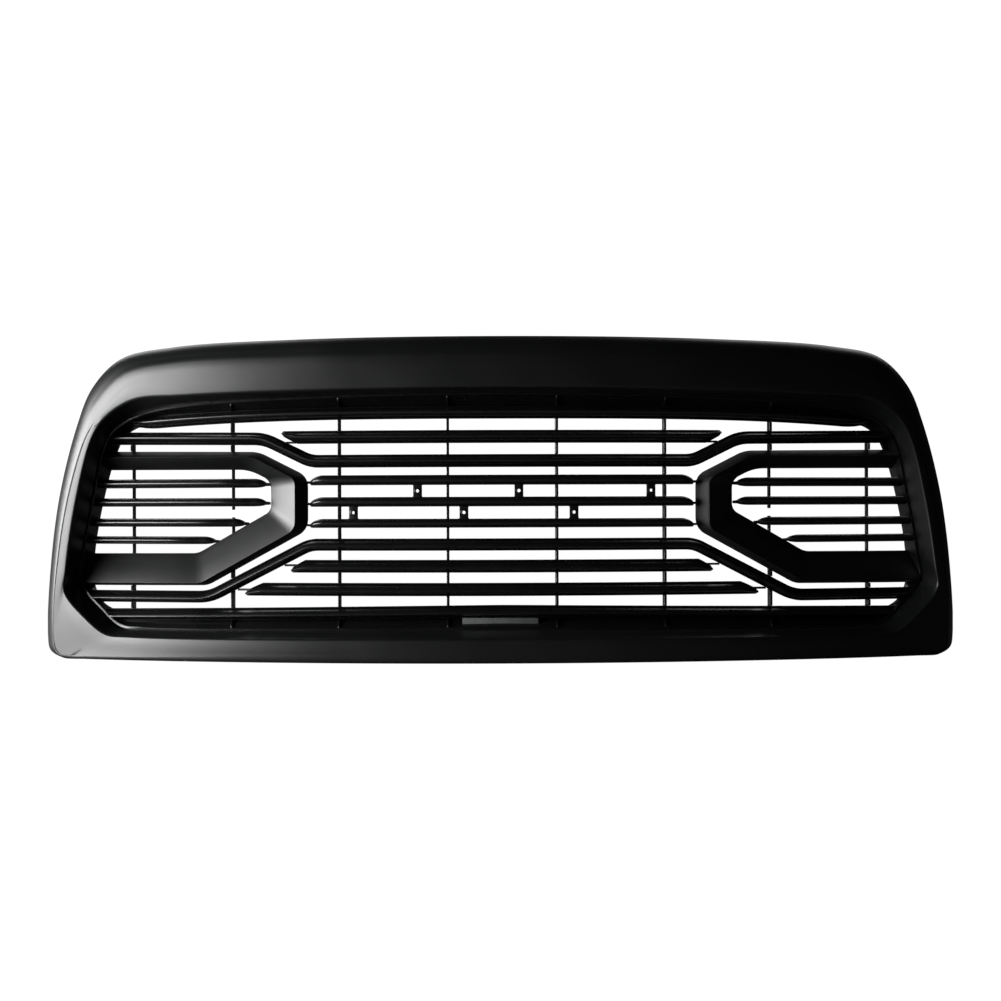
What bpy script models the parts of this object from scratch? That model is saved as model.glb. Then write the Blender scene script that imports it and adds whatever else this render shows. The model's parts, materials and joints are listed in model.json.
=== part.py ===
"""Front grille of a pickup truck: a bowed surround shell with a bladed insert behind it.

Metres, +Z up. The grille faces -Y and is symmetric about X = 0. The origin is at the middle of its base.
Every piece is laid out flat in the front view (x, z) with a setback in +Y behind the shell's front crease,
and then follows the bow: y = bow(x) + setback.
"""

import math

import bmesh
import bpy
from mathutils import Matrix, Vector

# ---- driving dimensions ----
BOW_RADIUS = 1.350
BASE_SHIFT = 0.11727  # moves the bowed front back so that the origin is under the middle of the box
WALL = 0.003
GAP = 0.0005

# Half outlines from the top centre, round the corner and down to the bottom centre, as (x, z).
SILHOUETTE = [
    (0, 0.4265), (0.276, 0.4240), (0.440, 0.4172), (0.512, 0.4035), (0.553, 0.3660), (0.576, 0.3140),
    (0.6025, 0.2150), (0.6165, 0.1050), (0.6194, 0.0300), (0.6155, 0.0105), (0.5970, 0.0012), (0.560, 0),
    (0.276, 0), (0, 0),
]
CREASE = [
    (0, 0.3940), (0.275, 0.3930), (0.440, 0.3885), (0.500, 0.3760), (0.534, 0.3440), (0.558, 0.3050),
    (0.5870, 0.2150), (0.6040, 0.1080), (0.6065, 0.0285), (0.6020, 0.0105), (0.588, 0.0035), (0.555, 0.0030),
    (0.275, 0.0030), (0, 0.0030),
]
LIP = [
    (0, 0.3583), (0.275, 0.3550), (0.425, 0.3508), (0.490, 0.3465), (0.529, 0.3245), (0.5490, 0.2975),
    (0.5722, 0.2145), (0.5875, 0.1220), (0.5900, 0.0910), (0.5600, 0.0560), (0.5300, 0.0342), (0.498, 0.0315),
    (0.275, 0.0310), (0, 0.0318),
]
RETURN = [
    (0, 0.3532), (0.277, 0.3482), (0.428, 0.3395), (0.490, 0.3280), (0.525, 0.3095), (0.540, 0.2860),
    (0.5565, 0.2135), (0.571, 0.1420), (0.5755, 0.1030), (0.5440, 0.0655), (0.5170, 0.0435), (0.486, 0.0405),
    (0.277, 0.0405), (0, 0.0420),
]
OPENING = [
    (0, 0.3310), (0.277, 0.3265), (0.428, 0.3185), (0.488, 0.3100), (0.510, 0.2960), (0.525, 0.2730),
    (0.5435, 0.2100), (0.5555, 0.1450), (0.5570, 0.1030), (0.5440, 0.0745), (0.5150, 0.0620), (0.480, 0.0607),
    (0.277, 0.0605), (0, 0.0610),
]
STEPS = [5, 3, 3, 3, 2, 3, 3, 3, 3, 2, 2, 4, 5]  # points in each stretch of a half outline

# Setbacks behind the crease.
SILHOUETTE_BACK = 0.030
ROLL_BACK = 0.010
LIP_BACK = 0.006
RETURN_BACK = 0.043
REAR_BACK = 0.085
FLANGE_BACK = 0.0438
OPENING_BACK = 0.072
FLANGE_WIDTH = 0.014
REAR_LIP_WIDTH = 0.008

# Blades: the path runs along the middle of the blade's rear face.
BLADE_REAR = 0.070
TALL_DEPTH = 0.026
SLIM_DEPTH = 0.024
TALL_HALF = 0.0084
CENTRE_HALF = 0.0063
SLIM_HALF = 0.0057
TONGUE_SCALE = 0.25
TALL_WALL = 0.0026
SLIM_WALL = 0.0022

CROWN_Z, CROWN_DROOP, CROWN_END = 0.3278, 0.0138, 0.512
SILL_Z, SILL_DROOP, SILL_END = 0.0656, 0.0066, 0.575
CENTRE_BLADES = {"centre_blade_1": 0.2389, "centre_blade_2": 0.2102, "centre_blade_3": 0.1818}
SLIM_TAPER, SLIM_TIP, SLIM_END = 0.229, 0.251, 0.2572
# name: (z, x of the top corner of the end, x of the bottom corner, web z, web end x)
CUT_BLADES = {
    "upper_blade": (0.2960, 0.2875, 0.2675, 0.2912, 0.2850),
    "lower_blade_1": (0.1250, 0.2577, 0.2766, 0.1278, 0.2830),
    "lower_blade_2": (0.0943, 0.3153, 0.3386, 0.0958, 0.3460),
}
# name: (z, x where the taper starts, x of the tip, x where the tongue ends)
WING_BLADES = {
    1: (0.2355, 0.343, 0.3140, 0.3110),
    2: (0.2103, 0.343, 0.3135, 0.3093),
    3: (0.1830, 0.374, 0.3420, 0.3390),
    4: (0.1593, 0.409, 0.3840, 0.3812),
}
WING_BLADE_END = 0.580

# Front view of a wing: arm end, four corners, arm end. The arms are cut to the funnel afterwards.
WING_INNER = [(0.560, 0.2545), (0.338, 0.2535), (0.3080, 0.2385), (0.3080, 0.1985), (0.4085, 0.1425), (0.580, 0.1415)]
WING_RIDGE = [(0.560, 0.2715), (0.331, 0.2705), (0.2740, 0.2405), (0.2740, 0.1735), (0.4030, 0.1020), (0.600, 0.1015)]
WING_OUTER = [(0.560, 0.2800), (0.325, 0.2775), (0.2582, 0.2440), (0.2582, 0.1732), (0.3950, 0.0988), (0.600, 0.0972)]
WING_RADII = [0.045, 0.012, 0.012, 0.030]
WING_RUNS = [4, 1, 1, 2, 4]
SHOULDER_RUNS = [4, 2, 4]
RIDGE_FRONT, RIDGE_REAR = 0.040, 0.0440
INNER_FRONT, INNER_REAR = 0.064, 0.0690
CARRIER_SIDE, CARRIER_REAR = 0.0645, 0.0704

RIB_X = [0.0720, 0.2160, 0.3605, 0.5005]
RIB_THICK = 0.003
RIB_FRONT, RIB_REAR, RIB_NOTCH = 0.054, 0.080, 0.0716
RIB_LOW, RIB_HIGH = 0.060, 0.328  # these heights fall behind the sill and crown blades
OUTER_RIB_HIGH = 0.298  # the outermost ribs stop behind the upper shoulder blade
RIB_BREAK = (0.1900, 0.2000)  # the second rib from each side stops between the second and third wing blades

TAB_SIZE = (0.014, 0.004)
TAB_BACK = 0.056
TAB_HOLE = 0.002
TABS = {  # badge tabs: x of each, between which two blades
    ("centre_blade_1", "centre_blade_2"): (-0.1118, 0.0218, 0.1970),
    ("centre_blade_2", "centre_blade_3"): (-0.1968, -0.0507, 0.0945),
}

TOP_TAB_X = [-0.330, -0.110, 0.110, 0.330]
TOP_TAB_SIZE = (0.034, 0.040, 0.004)
TOP_TAB_HOLE = 0.0040
LOW_TAB_X = [-0.220, 0.220]
LOW_TAB_SIZE = (0.030, 0.034, 0.004)
SCREW_PLACES = [2, 7, 19, 32]  # outline points that carry an insert screw, on each side
SCREW_HOLE = 0.0023

SATIN_BLACK = ((0.022, 0.023, 0.022), 0.45, 0.0)
MOULDED_BLACK = ((0.012, 0.012, 0.012), 0.55, 0.0)
STEEL = ((0.35, 0.35, 0.36), 0.35, 1.0)


# ---- helpers ----
def bow(x):
    """How far the bowed front lies behind the box's middle plane at x."""
    return BOW_RADIUS - math.sqrt(BOW_RADIUS**2 - x**2) - BASE_SHIFT


def bow_angle(x):
    return math.asin(x / BOW_RADIUS)


def placed(x, z, back):
    return Vector((x, bow(x) + back, z))


def spline_point(a, b, c, d, t):
    """A point between b and c on a centripetal Catmull-Rom curve through a, b, c and d."""
    knots = [0.0]
    for first, second in ((a, b), (b, c), (c, d)):
        knots.append(knots[-1] + max(math.dist(first, second), 1e-6) ** 0.5)
    t = knots[1] + (knots[2] - knots[1]) * t

    def mix(p, q, low, high):
        share = (t - low) / (high - low)
        return tuple(u + (v - u) * share for u, v in zip(p, q))

    ab, bc, cd = (mix(p, q, knots[i], knots[i + 1]) for i, (p, q) in enumerate(((a, b), (b, c), (c, d))))
    return mix(mix(ab, bc, knots[0], knots[2]), mix(bc, cd, knots[1], knots[3]), knots[1], knots[2])


def outline(half):
    """The closed outline, clockwise from the top centre, as (x, z), from its right-hand half."""
    mirrored = [(-half[1][0], half[1][1])] + list(half) + [(-half[-2][0], half[-2][1])]
    points = []
    for i, steps in enumerate(STEPS):
        for step in range(steps):
            x, z = spline_point(*mirrored[i : i + 4], step / steps)
            points.append((x, max(z, 0.0)))
    points.append(tuple(half[-1]))
    return points + [(-x, z) for x, z in reversed(points[1:-1])]


def grown(points, amount):
    """A closed clockwise outline moved outwards by an amount, or inwards where it is negative."""
    moved = []
    for i, (x, z) in enumerate(points):
        before, after = Vector(points[i - 1]), Vector(points[(i + 1) % len(points)])
        along = (after - before).normalized()
        moved.append((x - along.y * amount, z + along.x * amount))
    return moved


def between(first, second, share):
    return [(a + (c - a) * share, b + (d - b) * share) for (a, b), (c, d) in zip(first, second)]


def rounded(corners, radii, run_steps, arc_steps=3):
    """A front-view path with each inner corner rounded and each straight run between them cut into steps."""
    arcs = [[tuple(corners[0])]]
    for i in range(1, len(corners) - 1):
        here = Vector(corners[i])
        back = (Vector(corners[i - 1]) - here).normalized()
        ahead = (Vector(corners[i + 1]) - here).normalized()
        half_angle = back.angle(ahead) / 2
        reach = radii[i - 1] / math.tan(half_angle)
        centre = here + (back + ahead).normalized() * radii[i - 1] / math.sin(half_angle)
        first, last = here + back * reach - centre, here + ahead * reach - centre
        turn = first.angle_signed(last)
        arc = []
        for step in range(arc_steps + 1):
            arm = first.copy()
            arm.rotate(Matrix.Rotation(-turn * step / arc_steps, 2))
            arc.append(tuple(centre + arm))
        arcs.append(arc)
    arcs.append([tuple(corners[-1])])
    points = list(arcs[0])
    for before, after, steps in zip(arcs, arcs[1:], run_steps):
        points += [tuple(Vector(before[-1]).lerp(Vector(after[0]), k / steps)) for k in range(1, steps)]
        points += after
    return points


def material(name, look):
    colour, roughness, metallic = look
    made = bpy.data.materials.get(name)
    if made is None:
        made = bpy.data.materials.new(name)
        made.use_nodes = True
        shader = made.node_tree.nodes["Principled BSDF"]
        shader.inputs["Base Color"].default_value = (*colour, 1)
        shader.inputs["Roughness"].default_value = roughness
        shader.inputs["Metallic"].default_value = metallic
    return made


def add_object(name, mesh, look=("satin_black", SATIN_BLACK), cutter=False):
    made = bpy.data.objects.new(name, mesh)
    (cutters if cutter else grille).objects.link(made)
    if cutter:
        made.hide_render = True
        made.display_type = "WIRE"
    else:
        made.data.materials.append(material(*look))
        for polygon in made.data.polygons:
            polygon.material_index = 0
    return made


def finish_mesh(name, bm):
    bmesh.ops.triangulate(bm, faces=bm.faces)
    bmesh.ops.recalc_face_normals(bm, faces=bm.faces)
    mesh = bpy.data.meshes.new(name)
    bm.to_mesh(mesh)
    bm.free()
    mesh.shade_smooth()
    mesh.set_sharp_from_angle(angle=math.radians(30))
    return mesh


def loft(name, rings, closed_rings, closed_around=False):
    """Faces between unlike sections: each ring is one row of points, and neighbouring rings are joined."""
    bm = bmesh.new()
    rows = [[bm.verts.new(point) for point in ring] for ring in rings]
    pairs = list(zip(rows, rows[1:] + rows[:1] if closed_around else rows[1:]))
    for first, second in pairs:
        count = len(first)
        for i in range(count if closed_rings else count - 1):
            j = (i + 1) % count
            bm.faces.new((first[i], first[j], second[j], second[i]))
    if closed_around and not closed_rings:
        bm.faces.new([row[0] for row in rows])
        bm.faces.new([row[-1] for row in reversed(rows)])
    return finish_mesh(name, bm)


def evaluated_mesh(obj):
    bpy.context.view_layer.update()
    graph = bpy.context.evaluated_depsgraph_get()
    return bpy.data.meshes.new_from_object(obj.evaluated_get(graph))


def made_mesh(obj, look):
    """A curve object turned into a welded mesh object of the same name and place."""
    name = obj.name
    mesh = evaluated_mesh(obj)
    bm = bmesh.new()
    bm.from_mesh(mesh)
    bmesh.ops.remove_doubles(bm, verts=bm.verts, dist=0.00002)
    bmesh.ops.transform(bm, matrix=obj.matrix_world, verts=bm.verts)
    data = obj.data
    bpy.data.objects.remove(obj)
    bpy.data.curves.remove(data)
    result = add_object("piece", finish_mesh(name, bm), look)
    result.name = name
    return result


def boolean(obj, other, operation="DIFFERENCE"):
    modifier = obj.modifiers.new(operation.lower(), "BOOLEAN")
    modifier.operation = operation
    modifier.object = other


def flat_curve(name, outlines, half_thickness, look, matrix):
    """A flat plate from closed outlines in the local XY plane."""
    data = bpy.data.curves.new(name, "CURVE")
    data.dimensions = "2D"
    data.fill_mode = "BOTH"
    data.extrude = half_thickness
    for points in outlines:
        spline = data.splines.new("POLY")
        spline.points.add(len(points) - 1)
        for target, (u, v) in zip(spline.points, points):
            target.co = (u, v, 0, 1)
        spline.use_cyclic_u = True
    obj = bpy.data.objects.new(name, data)
    grille.objects.link(obj)
    obj.matrix_world = matrix
    return made_mesh(obj, look)


def box(name, size, centre, turn=0.0, cutter=False, look=("moulded_black", MOULDED_BLACK)):
    bm = bmesh.new()
    bmesh.ops.create_cube(bm, size=1.0)
    bmesh.ops.scale(bm, vec=size, verts=bm.verts)
    obj = add_object(name, finish_mesh(name, bm), look, cutter)
    obj.location = centre
    obj.rotation_euler = (0, 0, turn)
    return obj


def cylinder(name, radius, depth, centre, rotation, segments=12):
    bm = bmesh.new()
    bmesh.ops.create_cone(
        bm, cap_ends=True, segments=segments, radius1=radius, radius2=radius, depth=depth
    )
    obj = add_object(name, finish_mesh(name, bm), cutter=True)
    obj.location = centre
    obj.rotation_euler = rotation
    return obj


def turned(name, profile, location, rotation, steps, look):
    """A turned piece about its local Z from a profile of (radius, height), top to bottom."""
    mesh = bpy.data.meshes.new(name)
    points = [(radius, 0, height) for radius, height in profile]
    mesh.from_pydata(points, [(i, i + 1) for i in range(len(points) - 1)], [])
    obj = add_object(name, mesh, look)
    screw = obj.modifiers.new("turn", "SCREW")
    screw.steps = steps
    screw.render_steps = steps
    screw.use_merge_vertices = True
    screw.merge_threshold = 0.00005
    obj.location = location
    obj.rotation_euler = rotation
    return obj


# ---- shell and insert frame ----
def surface_ring(name, layers, look):
    """A thin wall through closed outlines, with its thickness behind the side that shows."""
    rings = [[placed(x, z, back) for x, z in points] for points, back in layers]
    bm = bmesh.new()
    rows = [[bm.verts.new(point) for point in ring] for ring in rings]
    for first, second in zip(rows, rows[1:]):
        for i in range(len(first)):
            j = (i + 1) % len(first)
            bm.faces.new((first[i], first[j], second[j], second[i]))
    mesh = bpy.data.meshes.new(name)
    bm.to_mesh(mesh)
    bm.free()
    mesh.shade_smooth()
    mesh.set_sharp_from_angle(angle=math.radians(30))
    obj = add_object(name, mesh, look)
    solidify = obj.modifiers.new("wall", "SOLIDIFY")
    solidify.thickness = WALL
    solidify.offset = 1
    solidify.use_even_offset = True
    return obj


def surround_shell():
    """The painted surround: rear skirt, rolled edge, face, return wall and the flange that takes the insert."""
    edge, crease, lip, wall = outline(SILHOUETTE), outline(CREASE), outline(LIP), outline(RETURN)
    rear = [(x * 0.996, max(z - 0.003, 0)) for x, z in edge]
    layers = [
        (rear, REAR_BACK),
        (edge, SILHOUETTE_BACK),
        (between(edge, crease, 0.35), ROLL_BACK),
        (crease, 0),
        (lip, LIP_BACK),
        (wall, RETURN_BACK),
        (grown(wall, FLANGE_WIDTH), RETURN_BACK),
    ]
    return surface_ring("surround_shell", layers, ("satin_black", SATIN_BLACK))


def insert_frame():
    """The funnel behind the shell that carries the blades: flange, sloping wall and rear lip."""
    wall, opening = outline(RETURN), outline(OPENING)
    layers = [
        (grown(wall, FLANGE_WIDTH), FLANGE_BACK),
        (grown(wall, -0.001), FLANGE_BACK),
        (opening, OPENING_BACK),
        (grown(opening, REAR_LIP_WIDTH), OPENING_BACK + 0.001),
    ]
    return surface_ring("insert_frame", layers, ("moulded_black", MOULDED_BLACK))


def funnel_cutter():
    """Everything outside the funnel, a little proud of its wall. Blades and ribs end where it begins."""
    wall, opening = grown(outline(RETURN), -0.0044), grown(outline(OPENING), -0.0024)
    far = grown(outline(SILHOUETTE), 0.060)
    layers = [(wall, -0.010), (wall, FLANGE_BACK), (opening, OPENING_BACK), (opening, 0.120), (far, 0.120), (far, -0.010)]
    rings = [[placed(x, z, back) for x, z in points] for points, back in layers]
    return add_object("funnel_cutter", loft("funnel_cutter", rings, True, True), cutter=True)


# ---- blades ----
def blade_profile(name, half, depth, nose):
    """The blade's section as a closed curve: local X is depth in front of the rear face, local Y is height."""
    shoulder = depth * 0.66
    return section_curve(name, [
        (0, -half * 0.8), (0, half * 0.8), (shoulder, half), (depth, nose + half * 0.28),
        (depth, nose - half * 0.28), (shoulder, -half),
    ])


def pocket_profile(name, half, depth, nose, wall):
    """The section of the hollow in a blade's back."""
    mouth, bottom = half * 0.8 - wall, half * 0.14
    return section_curve(name, [
        (-0.002, -mouth), (-0.002, mouth), (depth - wall * 1.3, nose + bottom), (depth - wall * 1.3, nose - bottom),
    ])


def section_curve(name, points):
    data = bpy.data.curves.new(name, "CURVE")
    data.dimensions = "2D"
    data.fill_mode = "NONE"
    spline = data.splines.new("POLY")
    spline.points.add(len(points) - 1)
    for target, (u, v) in zip(spline.points, points):
        target.co = (u, v, 0, 1)
    spline.use_cyclic_u = True
    obj = bpy.data.objects.new(name, data)
    cutters.objects.link(obj)
    obj.hide_render = True
    return obj


def blade(name, path, profile):
    """A blade along a path of (x, z, scale), drawn from left to right."""
    data = bpy.data.curves.new(name, "CURVE")
    data.dimensions = "3D"
    data.twist_mode = "Z_UP"
    data.bevel_mode = "OBJECT"
    data.bevel_object = profile
    data.use_fill_caps = True
    spline = data.splines.new("POLY")
    spline.points.add(len(path) - 1)
    for target, (x, z, scale) in zip(spline.points, path):
        target.co = (*placed(x, z, BLADE_REAR), 1)
        target.radius = scale
    obj = bpy.data.objects.new(name, data)
    grille.objects.link(obj)
    return made_mesh(obj, ("moulded_black", MOULDED_BLACK))


def hollow(obj, path, low, high, pocket):
    """Takes a pocket out of the blade's back along its path, from x = low to x = high."""
    inside = [point for point in path if low < point[0] < high]
    ends = []
    for x in (low, high):
        for (x0, z0, scale), (x1, z1, _) in zip(path, path[1:]):
            if x0 <= x <= x1:
                ends.append((x, z0 + (z1 - z0) * (x - x0) / (x1 - x0), scale))
                break
    cutter = blade(f"{obj.name}_pocket", [(ends[0][0], ends[0][1], 1.0), *inside, (ends[1][0], ends[1][1], 1.0)], pocket)
    grille.objects.unlink(cutter)
    cutters.objects.link(cutter)
    cutter.hide_render = True
    cutter.display_type = "WIRE"
    boolean(obj, cutter)


def both_ways(half_path):
    """A path from its right-hand half, which starts at x = 0."""
    return [(-x, z, scale) for x, z, scale in reversed(half_path[1:])] + list(half_path)


def arched_path(end, steps, height, tip_from, tip_scale):
    half = []
    for k in range(steps + 1):
        x = end * k / steps
        tip = max(0.0, (x - tip_from) / (end - tip_from))
        half.append((x, height(x), 1 - (1 - tip_scale) * tip))
    return both_ways(half)


def shoulder_path(corners, radii):
    points = rounded(corners, radii, SHOULDER_RUNS)
    return both_ways([(x, z, 1.0) for x, z in sorted(points)])


def slim_path():
    """The three middle blades taper to a tip and end in a thin tongue against each wing."""
    def half(z):
        run = [(SLIM_TAPER * k / 5, z, 1.0) for k in range(6)]
        tip = [(SLIM_TIP, z, 0.5), (SLIM_TIP + 0.0004, z, TONGUE_SCALE), (SLIM_END, z, TONGUE_SCALE)]
        return both_ways(run + tip)
    return half


def wing_blade_path(side, z, taper, tip, tongue):
    run = [(WING_BLADE_END + (taper - WING_BLADE_END) * k / 5, z, 1.0) for k in range(6)]
    run += [(tip, z, 0.45), (tip - 0.0004, z, TONGUE_SCALE), (tongue, z, TONGUE_SCALE)]
    return sorted((side * x, z, scale) for x, z, scale in run)


def cut_ends(obj, x_top, x_bottom, z):
    """Cuts both ends of a blade along slanted planes from (x_top, top edge) to (x_bottom, bottom edge)."""
    bm = bmesh.new()
    bm.from_mesh(obj.data)
    along = Vector((x_bottom - x_top, 0, -2 * TALL_HALF))
    for side in (-1, 1):
        normal = Vector((side * -along.z, 0, along.x)).normalized()
        if normal.x * side < 0:
            normal.negate()
        point = Vector((side * (x_top + x_bottom) / 2, 0, z))
        bmesh.ops.bisect_plane(
            bm, geom=bm.verts[:] + bm.edges[:] + bm.faces[:], plane_co=point, plane_no=normal, clear_outer=True
        )
        bmesh.ops.holes_fill(bm, edges=[edge for edge in bm.edges if edge.is_boundary])
    bmesh.ops.triangulate(bm, faces=bm.faces)
    bmesh.ops.recalc_face_normals(bm, faces=bm.faces)
    bm.to_mesh(obj.data)
    bm.free()


def add_webs(obj, x_inner, x_outer, z):
    """The thin bridge at each end of a cut blade that meets its neighbour's slope."""
    for side in (-1, 1):
        x = side * (x_inner + x_outer) / 2
        centre = placed(x, z, BLADE_REAR - 0.004)
        name = f"{obj.name}_web_cutter_{'r' if side > 0 else 'l'}"
        web = box(name, (x_outer - x_inner, 0.006, 0.0026), centre, bow_angle(x), cutter=True)
        boolean(obj, web, "UNION")


def make_blades(funnel):
    sections = {
        "upper": (TALL_HALF, TALL_DEPTH, 0.0008, TALL_WALL),
        "lower": (TALL_HALF, TALL_DEPTH, -0.0024, TALL_WALL),
        "centre": (CENTRE_HALF, SLIM_DEPTH, 0.0, SLIM_WALL),
        "slim": (SLIM_HALF, SLIM_DEPTH, 0.0, SLIM_WALL),
    }
    profiles = {kind: blade_profile(f"{kind}_profile", *sizes[:3]) for kind, sizes in sections.items()}
    pockets = {kind: pocket_profile(f"{kind}_pocket_profile", *sizes) for kind, sizes in sections.items()}
    blades = []

    def add(name, path, kind, low, high, cut=None):
        made = blade(name, path, profiles[kind])
        if cut:
            cut_ends(made, *cut)
        elif not name.startswith("centre"):
            boolean(made, funnel)
        hollow(made, path, low, high, pockets[kind])
        blades.append(made)
        return made

    crown = arched_path(CROWN_END, 11, lambda x: CROWN_Z - CROWN_DROOP * (x / CROWN_END) ** 3.6, 0.455, 0.35)
    add("crown_blade", crown, "upper", -0.462, 0.462)
    sill = arched_path(SILL_END, 11, lambda x: SILL_Z - SILL_DROOP * (x / 0.480) ** 1.2, SILL_END - 0.001, 1.0)
    add("sill_blade", sill, "lower", -0.530, 0.530)

    shoulders = {
        "upper_shoulder_blade": ([(0, 0.2642), (0.2514, 0.2642), (0.3135, 0.2945), (0.560, 0.2975)], "upper"),
        "lower_shoulder_blade": ([(0, 0.1536), (0.2525, 0.1536), (0.3880, 0.0837), (0.600, 0.0832)], "lower"),
    }
    for name, (corners, kind) in shoulders.items():
        add(name, shoulder_path(corners, [0.045, 0.060]), kind, -0.550, 0.550)

    path_at = slim_path()
    for name, z in CENTRE_BLADES.items():
        add(name, path_at(z), "centre", 0.0013 - SLIM_TAPER, SLIM_TAPER - 0.0013)

    for name, (z, x_top, x_bottom, web_z, web_end) in CUT_BLADES.items():
        end = max(x_top, x_bottom) + 0.012
        path = both_ways([(end * k / 6, z, 1.0) for k in range(7)])
        inner = min(x_top, x_bottom) - 0.004
        made = add(name, path, "upper" if name == "upper_blade" else "lower", -inner, inner, (x_top, x_bottom, z))
        add_webs(made, inner, web_end, web_z)

    for side, word in ((-1, "left"), (1, "right")):
        for number, sizes in WING_BLADES.items():
            low, high = sorted((side * (sizes[1] + 0.0013), side * WING_BLADE_END * 0.999))
            add(f"{word}_wing_blade_{number}", wing_blade_path(side, *sizes), "slim", low, high)

    return blades


# ---- wings ----
def wing_row(corners, side, back):
    points = rounded(corners, WING_RADII, WING_RUNS)
    return [placed(side * x, z, back) for x, z in points]


def make_wings(funnel):
    """Each wing is a sloping C-shaped trim on a carrier whose outer side shows as a dark band."""
    made = []
    for side, word in ((-1, "left"), (1, "right")):
        trim_rows = [
            wing_row(WING_INNER, side, INNER_FRONT),
            wing_row(WING_RIDGE, side, RIDGE_FRONT),
            wing_row(WING_RIDGE, side, RIDGE_REAR),
            wing_row(WING_INNER, side, INNER_REAR),
        ]
        trim = add_object(f"{word}_wing_trim", loft(f"{word}_wing_trim", trim_rows, False, True))
        behind = between(WING_RIDGE, WING_INNER, 0.14)
        foot = between(WING_OUTER, WING_INNER, 0.16)
        carrier_rows = [
            wing_row(WING_RIDGE, side, RIDGE_REAR + GAP + 0.0004),
            wing_row(WING_OUTER, side, CARRIER_SIDE),
            wing_row(WING_OUTER, side, CARRIER_REAR),
            wing_row(foot, side, CARRIER_REAR),
            wing_row(foot, side, CARRIER_SIDE),
            wing_row(behind, side, RIDGE_REAR + 0.0065),
        ]
        look = ("moulded_black", MOULDED_BLACK)
        carrier = add_object(f"{word}_wing_carrier", loft(f"{word}_wing_carrier", carrier_rows, False, True), look)
        for piece in (trim, carrier):
            boolean(piece, funnel)
            made.append(piece)
    return made


# ---- ribs ----
def crossing(mesh, x):
    """The lowest and highest z that a mesh reaches across a rib at x, or None."""
    heights = []
    for edge in mesh.edges:
        a, b = (mesh.vertices[v].co for v in edge.vertices)
        for plane in (x - RIB_THICK, x + RIB_THICK):
            if (a.x - plane) * (b.x - plane) <= 0 and abs(a.x - b.x) > 1e-9:
                heights.append(a.z + (b.z - a.z) * (plane - a.x) / (b.x - a.x))
    return (min(heights), max(heights)) if heights else None


def comb_outline(low, high, spans):
    """A comb in the (setback, height) plane, open to the front at each span of heights."""
    points = [(RIB_REAR, high), (RIB_REAR, low)]
    if not spans or spans[0][0] > low:
        points.append((RIB_FRONT, low))
    for bottom, top in spans:
        if bottom > low:
            points.append((RIB_FRONT, bottom))
        points += [(RIB_NOTCH, max(bottom, low)), (RIB_NOTCH, min(top, high))]
        if top < high:
            points.append((RIB_FRONT, top))
    if not spans or spans[-1][1] < high:
        points.append((RIB_FRONT, high))
    return points


def make_ribs(crossed, funnel):
    meshes = [evaluated_mesh(piece) for piece in crossed]
    for number, x in enumerate([-x for x in reversed(RIB_X)] + RIB_X, 1):
        spans = sorted(span for span in (crossing(mesh, x) for mesh in meshes) if span)
        merged = []
        for low, high in spans:
            low, high = low - GAP, high + GAP
            if merged and low < merged[-1][1] + 0.001:
                merged[-1] = (merged[-1][0], max(high, merged[-1][1]))
            else:
                merged.append((low, high))
        if abs(x) == RIB_X[2]:
            stretches = {"_lower": (RIB_LOW, RIB_BREAK[0]), "_upper": (RIB_BREAK[1], RIB_HIGH)}
        else:
            stretches = {"": (RIB_LOW, OUTER_RIB_HIGH if abs(x) == RIB_X[3] else RIB_HIGH)}
        for suffix, (low, high) in stretches.items():
            inside = [span for span in merged if span[1] > low and span[0] < high]
            matrix = Matrix.Translation((x, bow(x), 0)) @ Matrix(
                ((0, 0, 1, 0), (1, 0, 0, 0), (0, 1, 0, 0), (0, 0, 0, 1))
            )
            outlines = [comb_outline(low, high, inside)]
            rib = flat_curve(
                f"rib_{number}{suffix}", outlines, RIB_THICK / 2, ("moulded_black", MOULDED_BLACK), matrix
            )
            boolean(rib, funnel)
    for mesh in meshes:
        bpy.data.meshes.remove(mesh)


# ---- small pieces ----
def make_badge_tabs():
    number = 1
    for (above, below), places in TABS.items():
        top = CENTRE_BLADES[above] - CENTRE_HALF - GAP
        bottom = CENTRE_BLADES[below] + CENTRE_HALF + GAP
        for x in places:
            centre = placed(x, (top + bottom) / 2, TAB_BACK + TAB_SIZE[1] / 2)
            tab = box(f"badge_tab_{number}", (*TAB_SIZE, top - bottom), centre, bow_angle(x))
            turn = (math.radians(90), 0, bow_angle(x))
            boolean(tab, cylinder(f"tab_hole_cutter_{number}", TAB_HOLE, 0.020, centre, turn))
            number += 1


def add_mounting_tabs(shell):
    """Tabs moulded on the shell's rear edge: four at the top for push pins, two at the bottom for clips."""
    for number, x in enumerate(TOP_TAB_X, 1):
        z = top_tab_height(x)
        y = bow(x) + REAR_BACK + TOP_TAB_SIZE[1] / 2 - 0.012
        tab = box(f"top_tab_cutter_{number}", TOP_TAB_SIZE, (x, y, z), cutter=True)
        boolean(shell, tab, "UNION")
        hole = cylinder(f"top_hole_cutter_{number}", TOP_TAB_HOLE, 0.020, (x, pin_y(x), z), (0, 0, 0))
        boolean(shell, hole)
    for number, x in enumerate(LOW_TAB_X, 1):
        y = bow(x) + REAR_BACK + LOW_TAB_SIZE[1] / 2 - 0.012
        tab = box(f"low_tab_cutter_{number}", LOW_TAB_SIZE, (x, y, LOW_TAB_SIZE[2] / 2 + 0.0015), cutter=True)
        boolean(shell, tab, "UNION")


def top_tab_height(x):
    edge = [(px, pz) for px, pz in outline(SILHOUETTE)[: sum(STEPS[:3])]]
    for (x0, z0), (x1, z1) in zip(edge, edge[1:]):
        if x0 <= abs(x) <= x1:
            return z0 + (z1 - z0) * (abs(x) - x0) / (x1 - x0) - 0.0074
    return edge[0][1] - 0.0074


def pin_y(x):
    return bow(x) + REAR_BACK + 0.015


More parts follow.
